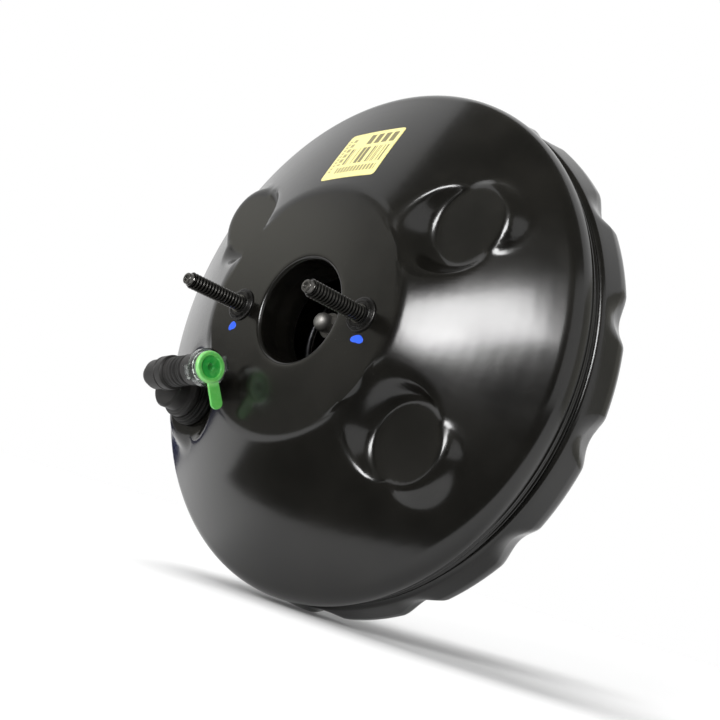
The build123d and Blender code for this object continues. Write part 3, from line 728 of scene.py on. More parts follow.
@dataclass
class FrontShell(SubAssembly):
    """The domed front pressing with its neck, four level pads, groove and rolled lip."""

    height: float = 104.0
    sheet: float = 1.5
    plateau_radius: float = 62.5
    flank_angle: float = 27.3
    flank_crown: float = 1.5
    skirt_radius: float = 130.5
    slope_sheet: float = 1.125
    pad_places: tuple[Pair, ...] = ((74, 50), (-74, 50), (-74, -50), (74, -50))
    pad_height: float = 88.0
    pad_radius: float = 21.0
    pad_wall: float = 28.0
    pad_foot: float = 3.2
    pad_sharpness: float = 5.0
    pad_reach: float = 25.0
    pad_band: Pair = (60.0, 129.5)
    pad_lowest: float = 66.0
    drop_limit: float = 1.8
    valve_place: Pair = (-75.0, -47.5)
    grommet_hole: float = 9.0
    hole_depth: float = 70.0
    dome_start: float = 28.0
    dome_foot: float = 61.5
    steps: int = 288

    def shoulder(self) -> float:
        """The height at which the flank would meet the skirt."""
        return self.height - (self.skirt_radius - self.plateau_radius) * math.tan(math.radians(self.flank_angle))

    def flank(self, inset: float) -> Profile:
        """The crowned slope from the plateau to the skirt.

        Args:
            inset: How far inside the outer face it lies.

        Returns:
            Its points without the ends.
        """
        fall = self.shoulder() - self.height
        points: Profile = []
        for step in range(1, 12):
            t = step / 12
            radius = self.plateau_radius + (self.skirt_radius - self.plateau_radius) * t
            crown = 4 * self.flank_crown * t * (1 - t)
            points.append((radius, self.height + fall * t + crown - inset * self.slope_sheet))
        return points

    def outside(self) -> Profile:
        """The outer face from the neck's inner end to the lip."""
        corners = [
            (24.3, 81.0), (24.3, 86.0, 6.0), (25.5, 93.0, 6.0), (25.5, 104.0, 2.0),
            (self.plateau_radius, self.height, 14.0), *self.flank(0.0), (self.skirt_radius, self.shoulder(), 10.0),
            (self.skirt_radius, 61.6, 0.9), (128.2, 60.4, 0.8), (128.2, 58.2, 0.8), (129.1, 57.5, 0.5),
            (129.1, 56.8, 0.5), (127.4, 56.0, 0.8), (127.4, 53.6, 0.8), (128.4, 53.0, 0.4),
            (128.4, 52.2, 0.3), (125.0, 52.2),
        ]
        return spaced(round_corners(corners, 7), 1.6)

    def inside(self) -> Profile:
        """The inner face from the lip back to the neck's inner end."""
        radius = self.skirt_radius - self.sheet
        corners = [
            (125.0, 58.0, 0.5), (radius, 59.6, 0.5), (radius, self.shoulder() - self.sheet, 8.5),
            *reversed(self.flank(self.sheet)), (self.plateau_radius, self.height - self.sheet, 12.5),
            (29.0, 102.5, 0.8), (27.0, 100.5, 0.6), (27.0, 92.6, 3.0), (25.8, 86.4, 3.0), (25.8, 81.0),
        ]
        return spaced(round_corners(corners, 4), 2.4)

    def lift(self, x: float, z: float, height: float, face: float) -> float:
        """The height of the pressing where a pad levels it.

        Args:
            x: Place in millimetres.
            z: Place in millimetres.
            height: The height of the plain dome there.
            face: The pads' height on this face of the sheet.

        Returns:
            The height with the pad pressed in.
        """
        foot = self.pad_foot
        for pad_x, pad_z in self.pad_places:
            past = math.hypot(x - pad_x, z - pad_z) - self.pad_radius
            if past > self.pad_reach:
                continue
            ramp = max(past, 0.0) if abs(past) > foot else (past + foot) ** 2 / (4 * foot)
            room = ramp / math.tan(math.radians(self.pad_wall))
            rise = height - face
            if room < 1e-6:
                return face
            power = self.pad_sharpness
            height = face + rise / (1 + abs(rise / room) ** power) ** (1 / power)
        return height

    def press_pads(self, bm: Mesh) -> None:
        """Press the four pads into a turned mesh."""
        inner, outer = self.pad_band
        for vert, radius, height in spots(bm):
            if inner < radius < outer and height > self.pad_lowest:
                plain = self.plain(radius)
                drop = min(max(plain - height, 0.0), self.drop_limit)
                lifted = self.lift(vert.co.x / MM, vert.co.z / MM, plain, self.pad_height)
                vert.co.y = -(lifted - drop) * MM

    def plain(self, radius: float) -> float:
        """The height of the outer face without pads, read from its profile."""
        points = self._dome
        for (r0, h0), (r1, h1) in zip(points, points[1:]):
            if r0 <= radius <= r1 and r1 > r0:
                return h0 + (h1 - h0) * (radius - r0) / (r1 - r0)
        return points[-1][1]

    def build(self) -> None:
        """Make the pressing."""
        outside = self.outside()
        self._dome = [point for point in outside if point[0] > self.dome_start and point[1] > self.dome_foot]
        bm = spun(outside + self.inside(), self.steps)
        self.press_pads(bm)
        valve_x, valve_z = (place * MM for place in self.valve_place)
        hole = []
        for face in bm.faces:
            middle = face.calc_center_median()
            reach = math.hypot(middle.x - valve_x, middle.z - valve_z)
            if reach < self.grommet_hole * MM and middle.y < -self.hole_depth * MM:
                hole.append(face)
        bmesh.ops.delete(bm, geom=hole, context="FACES")
        bmesh.ops.recalc_face_normals(bm, faces=bm.faces)
        self.keep(to_object("front_shell_pressing", bm, Finish.ENAMEL, 50.0), "housing", "front_shell")
        log.info("front shell: %d facets round, four pads", self.steps)

    def surface(self, x: float, z: float, proud: float) -> Vector:
        """A point just over the outer face.

        Args:
            x: Place in millimetres.
            z: Place in millimetres.
            proud: How far it stands off in millimetres.

        Returns:
            The point in metres.
        """
        height = self.lift(x, z, self.plain(math.hypot(x, z)), self.pad_height)
        return Vector((x, -height - proud, z)) * MM


@dataclass
class RearShell(SubAssembly):
    """The rear pressing: bowl, mounting face, neck and the scalloped shoulder."""

    sheet: float = 1.5
    face_radius: float = 66.0
    crest_radius: float = 133.0
    crest_height: float = 41.0
    flank_height: float = 33.0
    front_radius: float = 130.0
    rim_height: float = 52.2
    neck_radius: float = 25.0
    neck_length: float = 22.0
    valleys: int = 15
    valley_turn: float = 12.0
    valley_depth: float = 3.4
    valley_radius: float = 11.0
    valley_tilt: float = 16.0
    valley_half: float = 20.0
    valley_edge: float = 3.2
    shoulder_start: float = 95.0
    rim_left: float = 0.5
    rim_fade: float = 5.0
    skin: float = 0.02
    steps: int = 600

    def profile(self) -> Profile:
        """The closed outline of the pressing, outer face first."""
        sheet = self.sheet
        outer = [
            (self.neck_radius, -self.neck_length), (self.neck_radius, 0.0, 3.0), (self.face_radius, 0.0, 12.0),
            (self.crest_radius, self.flank_height, 9.0), (self.crest_radius, self.crest_height, 6.0),
            (self.front_radius, self.rim_height, 3.0), (120.5, self.rim_height),
        ]
        inner = [
            (120.5, self.rim_height - sheet), (self.front_radius - sheet, self.rim_height - sheet, 1.5),
            (self.crest_radius - sheet, self.crest_height, 5.0),
            (self.crest_radius - sheet, self.flank_height + 0.8, 7.5),
            (self.face_radius - 0.6, sheet, 10.5), (self.neck_radius - sheet, sheet, 1.5),
            (self.neck_radius - sheet, -self.neck_length),
        ]
        return spaced(round_corners(outer, 6), 3.4) + spaced(round_corners(inner, 4), 5.0)

    def press_valleys(self, bm: Mesh) -> None:
        """Press the valleys between the lobes into the shoulder."""
        pitch = 2 * math.pi / self.valleys
        slope = math.tan(math.radians(self.valley_tilt))
        for vert, radius, height in spots(bm):
            if radius < self.shoulder_start:
                continue
            angle = math.atan2(vert.co.z, vert.co.x) - math.radians(self.valley_turn)
            off = radius * (((angle + pitch / 2) % pitch) - pitch / 2)
            floor = self.crest_radius - self.valley_depth
            floor += slope * (height - self.crest_height)
            across = min(abs(off), self.valley_half)
            wall = floor + across * across / (2 * self.valley_radius)
            fade = min(1.0, max(0.0, (self.rim_height - self.rim_left - height) / self.rim_fade))
            depth = max(0.0, radius - smooth_min(radius, wall, self.valley_edge) - self.skin) * fade
            vert.co.x *= 1 - depth / radius
            vert.co.z *= 1 - depth / radius

    def build(self) -> None:
        """Make the pressing."""
        bm = spun(self.profile(), self.steps)
        self.press_valleys(bm)
        bmesh.ops.recalc_face_normals(bm, faces=bm.faces)
        self.keep(to_object("rear_shell_pressing", bm, Finish.ENAMEL, 50.0), "housing", "rear_shell")
        log.info("rear shell: %d valleys", self.valleys)


@dataclass
class Thread:
    """A threaded rod made by sweeping one row of teeth along a screw."""

    radius: float = 4.0
    pitch: float = 1.9
    depth: float = 0.75
    # The corners of a tooth: how far down each lies, as a share of the depth, and its share of the pitch
    tooth: tuple[Pair, ...] = ((1.0, 0.0), (1.0, 0.1), (0.0, 0.5), (0.0, 0.6))
    steps: int = 32

    def made(self, low: float, high: float) -> Mesh:
        """Make the threaded length.

        Args:
            low: The height where it starts, in millimetres.
            high: The height where it ends.

        Returns:
            The mesh on the booster's axis.
        """
        bm = bmesh.new()
        points: Profile = []
        for turn in range(math.ceil((high - low) / self.pitch) + 3):
            base = low + (turn - 2) * self.pitch
            points += [(self.radius - self.depth * down, base + share * self.pitch) for down, share in self.tooth]
        verts = [bm.verts.new((radius * MM, -height * MM, 0.0)) for radius, height in points]
        edges = [bm.edges.new(pair) for pair in zip(verts, verts[1:])]
        bmesh.ops.spin(
            bm, geom=verts + edges, cent=(0, 0, 0), axis=AXIS, dvec=AXIS * (-self.pitch * MM / self.steps),
            angle=2 * math.pi, steps=self.steps, use_merge=False, use_duplicate=False,
        )
        bmesh.ops.remove_doubles(bm, verts=bm.verts, dist=WELD)
        for height, side in ((low, 1.0), (high, -1.0)):
            cut = bmesh.ops.bisect_plane(
                bm, geom=bm.verts[:] + bm.edges[:] + bm.faces[:], plane_co=(0, -height * MM, 0),
                plane_no=AXIS * side, clear_outer=True,
            )
            rim = [part for part in cut["geom_cut"] if isinstance(part, bmesh.types.BMEdge)]
            bmesh.ops.holes_fill(bm, edges=rim, sides=0)
        bmesh.ops.recalc_face_normals(bm, faces=bm.faces)
        return bm


def joined(parts: Iterable[tuple[Mesh, Matrix]]) -> Mesh:
    """Put several meshes into one.

    Args:
        parts: Each mesh with the matrix that places it. The meshes are used up.

    Returns:
        The joined mesh.
    """
    whole = bmesh.new()
    for part, matrix in parts:
        bmesh.ops.transform(part, matrix=matrix, verts=part.verts)
        scratch = bpy.data.meshes.new("scratch")
        part.to_mesh(scratch)
        part.free()
        whole.from_mesh(scratch)
        bpy.data.meshes.remove(scratch)
    return whole


def at(x: float, z: float) -> Matrix:
    """The matrix that shifts a turned mesh to a place in millimetres."""
    return Matrix.Translation(Vector((x, 0.0, z)) * MM)


@dataclass
class Studs(SubAssembly):
    """Threaded studs of both ends, with the press collars and the dabs of marking paint."""

    spacing: float = 83.0
    bulkhead_half: float = 38.0
    face: float = 104.0
    # The heights of a stud: its head, where the head meets the plate, its shoulder and its tip
    master: tuple[float, ...] = (96.0, 100.0, 106.2, 140.0)
    bulkhead: tuple[float, ...] = (8.0, 4.0, 0.0, -24.0)
    head_radius: float = 8.0
    dab_thickness: float = 0.25

    def stud(self, head: float, start: float, shoulder: float, tip: float) -> list[Mesh]:
        """Make the turned pieces of one stud.

        Args:
            head: The height of the outer face of its head.
            start: The height where the head meets the plate.
            shoulder: The height where the thicker shank ends and the thread starts.
            tip: The height of its tip.

        Returns:
            The head with the plain shank, and the thread with its point.
        """
        sign = 1.0 if tip > head else -1.0
        shank = [
            (0.0, head), (self.head_radius, head, 0.6), (self.head_radius, start, 0.3),
            (4.6, start), (4.6, shoulder), (3.3, shoulder), (0.0, shoulder),
        ]
        point = [
            (0.0, tip - 4.0 * sign), (3.35, tip - 4.0 * sign), (3.35, tip - 2.3 * sign, 0.1),
            (2.9, tip - 2.0 * sign, 0.2), (2.75, tip, 0.45), (1.5, tip, 0.2), (1.1, tip - 0.7 * sign, 0.2),
            (0.0, tip - 0.8 * sign),
        ]
        low, high = sorted((shoulder - 0.2 * sign, tip - 2.6 * sign))
        shank_mesh, point_mesh = (spun(round_corners(corners, 3), 40, closed=False) for corners in (shank, point))
        return [shank_mesh, Thread().made(low, high), point_mesh]

    def collar(self) -> Mesh:
        """Make one press collar."""
        face = self.face
        corners = [
            (4.6, face - 0.05), (8.3, face - 0.05), (8.3, face + 0.7, 0.3), (7.5, face + 1.0, 0.3),
            (7.1, face + 0.8, 0.2), (6.4, face + 2.2, 0.5), (5.2, face + 2.2, 0.3), (4.6, face + 1.9),
        ]
        return spun(round_corners(corners, 3), 56)

    def dab(self, x: float, z: float, size: Pair, seed: float) -> Mesh:
        """Make one flat dab of paint.

        Args:
            x: Place in millimetres.
            z: Place in millimetres.
            size: Half its width and half its height in millimetres.
            seed: Turns its outline, so that no two are alike.

        Returns:
            The mesh.
        """
        bm = bmesh.new()
        bmesh.ops.create_uvsphere(bm, u_segments=28, v_segments=12, radius=1.0)
        wide, tall = size
        for vert in bm.verts:
            angle = math.atan2(vert.co.z, vert.co.x) + seed
            swell = 1 + 0.16 * math.sin(2 * angle) + 0.1 * math.sin(3 * angle + 1.0)
            right, up = vert.co.x * wide * swell + x, vert.co.z * tall * swell + z
            vert.co = Vector((right, vert.co.y * self.dab_thickness - self.face, up)) * MM
        bmesh.ops.recalc_face_normals(bm, faces=bm.faces)
        return bm

    def build(self) -> None:
        """Make the studs, collars and dabs."""
        half = self.spacing / 2
        square = self.bulkhead_half
        front = [(part, at(side * half, 0)) for side in (-1, 1) for part in self.stud(*self.master)]
        collars = [(self.collar(), at(side * half, 0)) for side in (-1, 1)]
        rear = [
            (part, at(x * square, z * square))
            for x in (-1, 1) for z in (-1, 1) for part in self.stud(*self.bulkhead)
        ]
        places = ((-43.4, -11.2, (2.2, 2.5), 0.4), (43.2, -11.2, (3.4, 2.2), 0.9))
        dabs = [(self.dab(*place), Matrix()) for place in places]
        for name, parts, finish, nodes in (
            ("master_studs_threaded", front, Finish.FRONT_STUD, ("master_cylinder_studs",)),
            ("stud_collars_turned", collars, Finish.BLACK_STEEL, ("stud_collars",)),
            ("bulkhead_studs_threaded", rear, Finish.REAR_STUD, ("firewall_studs",)),
            ("marking_dabs", dabs, Finish.MARKING, ()),
        ):
            self.keep(to_object(name, joined(parts), finish), "housing", *nodes)
            log.info("%s: %d parts in one piece", name, len(parts))


# How many facets a rounding has, whether the profile is closed, and its corners. The grommet has a
# bulb below the sheet and ridges above it, the barrel a stem, a flange and a chamber, the arm the
# elbow, the hose stop with its groove and the nozzle, and the cap a seam.
VALVE_PROFILES: dict[str, tuple[int, bool, list[tuple[float, ...]]]] = {
    "grommet": (3, True, [
        (8.0, 83.0), (9.0, 83.0, 0.5), (11.0, 86.4, 0.6), (9.0, 86.5), (9.0, 88.03), (14.3, 88.03, 0.3),
        (14.8, 88.7, 0.4), (14.8, 89.7, 0.4), (14.1, 90.1, 0.3), (14.1, 90.5, 0.3), (14.8, 90.9, 0.3),
        (14.8, 91.7, 0.5), (13.5, 92.2, 0.3), (13.5, 92.6, 0.3), (14.0, 93.0, 0.3), (13.7, 93.8, 0.4),
        (12.9, 94.1, 0.2), (13.3, 94.5, 0.2), (13.2, 95.0, 0.2), (8.0, 95.0),
    ]),
    "barrel": (4, False, [
        (0.0, 105.0), (7.4, 105.0), (7.4, 98.0), (3.5, 98.0), (3.5, 83.0), (8.0, 83.0), (8.0, 95.0),
        (12.0, 95.0, 0.3), (12.4, 95.8, 0.4), (12.4, 98.2, 0.6), (11.2, 98.7, 0.3), (11.2, 99.1, 0.3),
        (10.0, 99.6, 0.6), (10.0, 106.0, 0.9), (9.0, 107.1, 0.6), (0.0, 107.1),
    ]),
    "arm": (4, True, [
        (2.4, -2.0), (7.4, -2.0, 0.3), (7.6, -1.4, 0.2), (7.6, 5.4, 0.8), (7.2, 6.0, 0.2), (8.2, 6.5, 0.3),
        (8.6, 7.2, 0.4), (8.6, 8.6, 0.3), (8.25, 8.9, 0.2), (8.25, 9.3, 0.2), (8.6, 9.6, 0.3),
        (8.6, 14.2, 0.9), (7.4, 15.0, 0.4), (4.2, 15.0), (4.2, 22.4, 0.4), (3.8, 23.0, 0.2), (2.4, 23.0),
    ]),
    "cap": (12, False, [
        (0.0, -8.8), (6.2, -8.8, 5.2), (6.2, -3.1, 0.2), (5.85, -2.9, 0.15), (5.85, -2.6, 0.15),
        (6.2, -2.4, 0.2), (6.2, -2.0), (0.0, -2.0),
    ]),
}


@dataclass
class CheckValve(SubAssembly):
    """Check valve in its stepped grommet, with the elbow, the short hose and the plugged connector."""

    place: Pair = (-75.0, -47.5)
    outlet: Triple = (-75.0, -114.0, -43.0)
    along: Triple = (0.982333, -0.124756, 0.139491)
    hose_radius: float = 7.5
    hose_start: float = 15.0
    hose_end: float = 31.5
    hose_rings: int = 44
    # Where the hose is pinched along its run, how deep, and the width of the pinch, squared
    pinches: tuple[Triple, ...] = ((26.5, 0.45, 0.5), (23.2, 0.3, 0.4))
    steps: int = 96

    def across(self) -> Matrix:
        """The frame whose axis runs along the outlet."""
        return basis(Vector(self.outlet) * MM, Vector(self.along), Vector((0, 0, 1)))

    def turned(self, name: str) -> Mesh:
        """Turn one of the valve's profiles.

        Args:
            name: The profile's name.

        Returns:
            The mesh on the booster's axis.
        """
        rounding, closed, corners = VALVE_PROFILES[name]
        return spun(round_corners(corners, rounding), self.steps, closed)

    def hose(self) -> Mesh:
        """Make the short hose, with the faint folds of a sleeve pushed over its ends."""
        corners: list[tuple[float, ...]] = [(4.2, self.hose_start), (6.9, self.hose_start, 0.4)]
        for step in range(self.hose_rings + 1):
            share = step / self.hose_rings
            run = self.hose_start + 0.5 + share * (self.hose_end - self.hose_start - 1.0)
            fold = 0.06 * math.sin(run * 2.4) + 0.12 * share * math.sin(run * 1.7 + 1.0)
            pinch = sum(depth * math.exp(-((run - middle) ** 2) / width) for middle, depth, width in self.pinches)
            corners.append((self.hose_radius + fold - pinch, run))
        corners += [(6.9, self.hose_end, 0.4), (4.2, self.hose_end)]
        return spun(round_corners(corners, 3), self.steps)

    def build(self) -> None:
        """Make the valve's pieces."""
        down, across = at(*self.place), self.across()
        body = [(self.turned("barrel"), down), (self.turned("arm"), across)]
        for name, parts, finish, angle, node in (
            ("grommet_stepped", [(self.turned("grommet"), down)], Finish.RUBBER, 40.0, "check_valve_grommet"),
            ("valve_elbow_turned", body, Finish.BLACK_NYLON, 36.0, "check_valve_body"),
            ("valve_cap_domed", [(self.turned("cap"), across)], Finish.BLACK_NYLON, 36.0, "check_valve_cap"),
            ("hose_folded", [(self.hose(), across)], Finish.RUBBER, 50.0, "vacuum_hose"),
        ):
            self.keep(to_object(name, joined(parts), finish, angle), "housing", node)
        self.refined("quick_connector", "housing", Finish.BLACK_NYLON, 0.5)
        self.refined("connector_retainer", "housing", Finish.MILKY_NYLON, 0.55)
        self.refined("transit_plug", "transit_plug", Finish.GREEN, 0.45)
        log.info("check valve: grommet, elbow, cap, hose, connector, clip and plug")


@dataclass
class SoftParts(SubAssembly):
    """The rubber bellows behind the housing and the rubber diaphragm inside it."""

    folds: int = 5
    fold_start: float = 22.3
    fold_pitch: float = 9.0
    crest: float = 30.0
    root: float = 23.0
    wall: float = 2.2
    boot_stretch: Pair = (21.0, 68.0)
    diaphragm_stretch: Pair = (-56.0, -44.0)
    steps: int = 120

    def boot(self) -> Mesh:
        """Make the collar, the rounded bellows and the lipped tail."""
        turns: list[Pair] = []
        for fold in range(self.folds):
            turns.append((self.root, -self.fold_start - fold * self.fold_pitch))
            turns.append((self.crest, -self.fold_start - (fold + 0.5) * self.fold_pitch))
        outside = [
            (26.8, -10.0, 0.4), (26.8, -12.4, 0.3), (26.3, -12.8, 0.2), (26.3, -13.4, 0.2), (26.8, -13.8, 0.3),
            (26.8, -21.0, 0.6), *[(radius, height, 1.5) for radius, height in turns[1:]],
            (self.root, -67.3, 1.0), (self.root, -74.5, 1.2), (9.0, -74.5, 0.4),
        ]
        inside = [
            (9.0, -72.3), (19.8, -72.3, 0.4), (19.8, -67.3, 0.5),
            *[(radius - self.wall, height, 1.2) for radius, height in reversed(turns[1:])],
            (25.0, -22.2), (25.0, -10.0),
        ]
        return spun(spaced(round_corners(outside + inside, 4), 2.5), self.steps)

    def build(self) -> None:
        """Make the bellows and the diaphragm."""
        self.bent(to_object("bellows_folded", self.boot(), Finish.RUBBER, 60.0), *self.boot_stretch, "dust_boot")
        bm = bmesh.new()
        bm.from_mesh(frame["nodes"]["diaphragm"].data)
        bmesh.ops.remove_doubles(bm, verts=bm.verts, dist=WELD)
        self.bent(to_object("diaphragm_sheet", bm, Finish.RUBBER, 50.0), *self.diaphragm_stretch, "diaphragm")
        log.info("bellows with %d folds, and the diaphragm", self.folds)


@dataclass
class Springs(SubAssembly):
    """The coils, copied from their solids."""

    def pressed(self, node: str, body: str, joint: str, anchor: Triple, keep: float) -> None:
        """Copy a coil, with a mesh of its own, onto the body that holds it.

        Args:
            node: The coil's node.
            body: The body that holds its anchored end.
            joint: A joint's name; not used.
            anchor: A point in millimetres; not used.
            keep: A share of its length; not used.
        """
        coil = self.refined(node, body, Finish.SPRING, 0.0)
        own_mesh(coil)

    def build(self) -> None:
        """Make the coils."""
        self.pressed("return_spring", "housing", "piston_slide", (0, -102.5, 0), 0.62)
        self.pressed("check_valve_spring", "housing", "check_valve_slide", (-75, -105, -47.5), 0.6)
        self.pressed("input_return_spring", "power_piston", "plunger_slide", (0, 20, 0), 0.91)
        self.refined("poppet_spring", "power_piston", Finish.SPRING, 0.0)
        log.info("springs: four coils")


@dataclass
class RodEnds(SubAssembly):
    """The thread by which the input rod is set to length."""

    thread: Thread = field(default_factory=lambda: Thread(radius=4.62, pitch=1.5, depth=0.5))
    start: float = -90.9
    end: float = -78.0

    def build(self) -> None:
        """Make the thread."""
        self.keep(to_object("input_rod_thread", self.thread.made(self.start, self.end), Finish.ZINC), "input_rod")
        log.info("rod ends: one long thread at the clevis")


@dataclass
class InnerParts(SubAssembly):
    """The rest of the solids, with their edges softened."""

    widths: dict[str, float] = field(default_factory=lambda: {"clevis": 0.8, "valve_body": 0.6, "lock_nut": 0.5})

    def build(self) -> None:
        """Soften every solid that nothing stands for yet."""
        carriers = {node: body for body, nodes in frame["record"]["behaviour"]["bodies"].items() for node in nodes}
        for part in frame["record"]["subparts"]:
            node = part["node"]
            if frame["nodes"][node].hide_render:
                continue
            finish = next(choice for choice in Finish if choice.value.slot == part["material_slot"])
            self.refined(node, carriers[node], finish, self.widths.get(node, 0.25))
            log.info("%s: softened, finished as %s", node, part["material_slot"])


@dataclass
class Label(SubAssembly):
    """Cream sticker on the upper slope, with plain bars in place of words."""

    shell: FrontShell = field(default_factory=FrontShell)
    corners: tuple[Pair, ...] = ((-15.7, 66.6), (17.4, 70.5), (14.4, 103.0), (-19.3, 98.7))
    rounding: float = 0.06
    proud: float = 0.14
    thickness: float = 0.12
    cells: int = 28

    def build(self) -> None:
        """Lay a fine grid on the slope and give it a map."""
        bm = bmesh.new()
        bmesh.ops.create_grid(bm, x_segments=self.cells, y_segments=self.cells, size=0.5)
        chart = bm.loops.layers.uv.new("label")
        low_left, low_right, high_right, high_left = (Vector(corner) for corner in self.corners)
        edge = 0.5 - self.rounding
        for vert in bm.verts:
            off = Vector((max(abs(vert.co.x) - edge, 0.0), max(abs(vert.co.y) - edge, 0.0)))
            if off.length > self.rounding:
                off *= self.rounding / off.length
                vert.co.x = math.copysign(edge + off.x, vert.co.x)
                vert.co.y = math.copysign(edge + off.y, vert.co.y)
        for face in bm.faces:
            for loop in face.loops:
                loop[chart].uv = (loop.vert.co.x + 0.5, loop.vert.co.y + 0.5)
        for vert in bm.verts:
            u, v = vert.co.x + 0.5, vert.co.y + 0.5
            low = low_left.lerp(low_right, u)
            high = high_left.lerp(high_right, u)
            place = low.lerp(high, v)
            vert.co = self.shell.surface(place.x, place.y, self.proud)
        bmesh.ops.recalc_face_normals(bm, faces=bm.faces)
        if bm.faces[0].normal.y > 0:
            bmesh.ops.reverse_faces(bm, faces=bm.faces)
        piece = to_object("label_sticker", bm, Finish.LABEL)
        thick = piece.modifiers.new("paper", "SOLIDIFY")
        thick.thickness = self.thickness * MM
        thick.offset = -1.0
        self.keep(piece, "housing")
        log.info("label: bare bars only")


class Camera:
    """The camera of the photograph, fitted to the part's outline and holes."""

    place = Vector((381.0, -436.1, -99.7)) * MM
    right = Vector((0.7111, 0.6440, 0.2822))
    up = Vector((-0.0895, -0.3153, 0.9448))
    lens = 55.0

    def build(self) -> None:
        """Add the camera."""
        data = bpy.data.cameras.new("camera")
        data.lens = self.lens
        data.sensor_width = 36.0
        data.clip_start = 0.01
        camera = bpy.data.objects.new("camera", data)
        bpy.context.scene.collection.objects.link(camera)
        back = self.right.cross(self.up).normalized()
        up = back.cross(self.right).normalized()
        turn = Matrix((self.right.normalized(), up, back)).transposed().to_4x4()
        camera.matrix_world = Matrix.Translation(self.place) @ turn
        bpy.context.scene.camera = camera


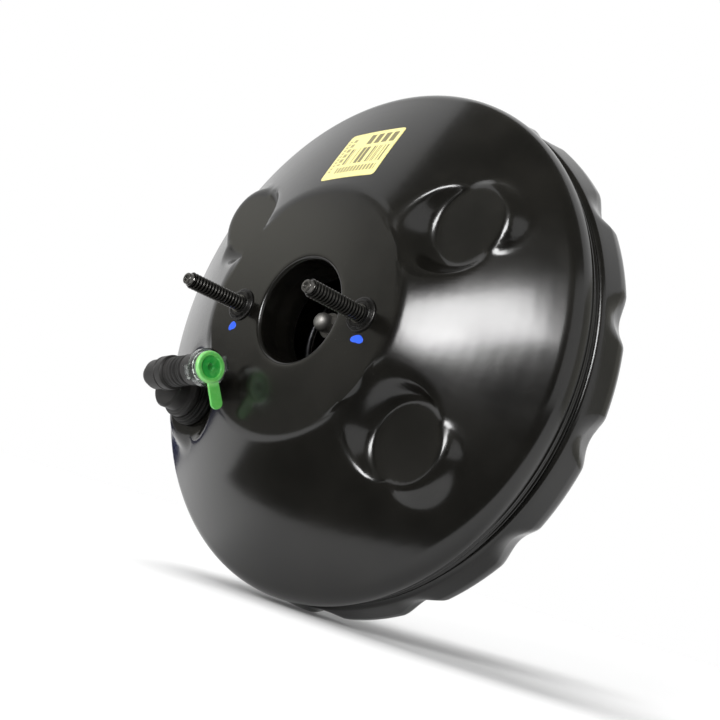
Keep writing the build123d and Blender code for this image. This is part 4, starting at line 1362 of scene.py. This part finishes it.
@dataclass
class Studio:
    """Pale floor, white surroundings, plain cards that only reflections see, and soft lamps."""

    floor_z: float = -0.1332
    floor_half: float = 6.0
    floor_grey: float = 0.86
    floor_glow: float = 0.06
    world_light: float = 0.42
    sun_energy: float = 2.3
    sun_spread: float = 42.0

    def panel(
        self, name: str, centre: Triple, aim: Triple, size: Pair, low: Pair, high: Pair, tint: Triple = WARM
    ) -> None:
        """Stand a plain card near the part, seen only in reflections.

        Args:
            name: The card's name.
            centre: Its middle in metres.
            aim: The point it faces.
            size: Its width and height in metres.
            low: A height in metres, and how bright the card is below it.
            high: A height in metres, and how bright the card is above it.
            tint: The colour that its brightness is multiplied by.
        """
        bm = bmesh.new()
        bmesh.ops.create_grid(bm, x_segments=1, y_segments=1, size=0.5)
        turn = (Vector(aim) - Vector(centre)).to_track_quat("Z", "Y").to_matrix().to_4x4()
        scale = Matrix.Diagonal((*size, 1.0, 1.0))
        bmesh.ops.transform(bm, matrix=Matrix.Translation(centre) @ turn @ scale, verts=bm.verts)
        graph = Graph(name)
        _, _, z = graph.parts(graph.place())
        dim, bright = (tuple(level * share for share in tint) + (1.0,) for level in (low[1], high[1]))
        card = linked(name, bm, graph.finish({
            "Base Color": grey(0.0), "Roughness": 1.0, "Specular IOR Level": 0.0,
            "Emission Color": graph.mixed(z.ramp(low[0], high[0]), dim, bright), "Emission Strength": 1.0,
        }))
        card.visible_camera = False
        card.visible_shadow = False
        card.visible_diffuse = False
        card.visible_transmission = False

    def light(self, name: str, kind: str, centre: Triple, aim: Triple, roll: float, **settings: Any) -> Piece:
        """Add one light.

        Args:
            name: The light's name.
            kind: The light's type.
            centre: Its middle in metres.
            aim: The point it shines at.
            roll: How far it is turned in its own plane, in degrees.
            settings: The values of its data.

        Returns:
            The light.
        """
        data = bpy.data.lights.new(name, kind)
        for key, value in settings.items():
            setattr(data, key, value)
        light = bpy.data.objects.new(name, data)
        turn = (Vector(centre) - Vector(aim)).to_track_quat("Z", "Y").to_matrix().to_4x4()
        light.matrix_world = Matrix.Translation(centre) @ turn @ Matrix.Rotation(math.radians(roll), 4, "Z")
        bpy.context.scene.collection.objects.link(light)
        return light

    def floor(self) -> None:
        """Add the pale floor, white to the eye where no shadow falls."""
        bm = bmesh.new()
        bmesh.ops.create_grid(bm, x_segments=1, y_segments=1, size=self.floor_half)
        bmesh.ops.translate(bm, vec=(0, 0, self.floor_z), verts=bm.verts)
        linked("floor", bm, Graph("floor").finish({
            "Base Color": grey(self.floor_grey), "Roughness": 0.7, "Specular IOR Level": 0.1,
            "Emission Color": grey(self.floor_glow), "Emission Strength": 1.0,
        }))

    def surroundings(self) -> None:
        """White to the eye, in reflections and through clear pieces, and soft light for the rest."""
        graph = Graph("surroundings", world=True)
        camera, glossy, through = (
            graph.add("ShaderNodeLightPath", {}, {}, f"Is {ray} Ray") for ray in ("Camera", "Glossy", "Transmission")
        )
        soft, white = (
            graph.add("ShaderNodeBackground", {}, {"Color": grey(1.0), "Strength": level})
            for level in (self.world_light, 1.0)
        )
        seen = camera.larger(glossy).larger(through)
        either = graph.add("ShaderNodeMixShader", {}, {0: seen, 1: soft, 2: white})
        bpy.context.scene.world = graph.close(either, "ShaderNodeOutputWorld")

    def build(self) -> None:
        """Set up the studio."""
        self.floor()
        self.surroundings()
        part = (0.03, -0.08, 0.0)
        for name, centre, aim, size, low, high, *tint in (
            ("front_card", (0.75, -1.9, 0.95), (0.75, 0, 0.95), (3.4, 2.3), (0.3, 0.02), (1.9, 0.4)),
            ("top_card", (0.56, -0.75, 1.75), (0.56, -0.75, 0), (2.9, 2.4), (0, 0.16), (1, 0.16)),
            ("left_card", (-1.587, -1.17, 0.08), part, (0.65, 1.1), (0.2, 0.2), (0.58, 1.4)),
            ("dim_card", (-1.157, -1.627, 0.4), part, (0.65, 1.5), (0.2, 0.22), (1.1, 0.36)),
            ("low_card", (0.6, -0.817, -0.131), (0.6, -0.817, 1), (1.48, 1.39), (-1, 0.11), (1, 0.11)),
            ("right_card", (1.35, 1.45, 0.35), part, (2.0, 1.8), (-1, 0.5), (2, 0.5)),
            ("blue_card", (-0.4, -0.1, -0.105), part, (0.34, 0.045), (-1, 0.12), (1, 0.12), BLUE),
        ):
            self.panel(name, centre, aim, size, low, high, *tint)
        for name, centre, roll, size, power in (
            ("key_softbox", (0.36, -1.38, 0.39), 31.0, (0.6, 0.36), 14.5),
            ("fill_softbox", (0.28, -1.45, 0.16), 20.0, (0.36, 0.2), 2.0),
        ):
            self.light(name, "AREA", centre, part, roll, shape="RECTANGLE", size=size[0], size_y=size[1], energy=power)
        spread = math.radians(self.sun_spread)
        sun = self.light("sky_light", "SUN", (-0.35, -0.3, 1.0), (0, 0, 0), 0.0, energy=self.sun_energy, angle=spread)
        sun.visible_glossy = False
        bpy.context.scene.view_settings.view_transform = "Standard"


def main() -> None:
    """Build the booster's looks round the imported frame, one sub-assembly after another."""
    logging.basicConfig(level=logging.INFO, format="%(name)s: %(message)s")
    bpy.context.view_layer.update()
    shell = FrontShell()
    groups = (
        shell, RearShell(), Studs(), CheckValve(), SoftParts(), Springs(), RodEnds(), Label(shell=shell), InnerParts()
    )
    for group in groups:
        group.build()
        log.info("%s: %d pieces", type(group).__name__, len(group.pieces))
    Camera().build()
    Studio().build()


if __name__ == "__main__":
    main()
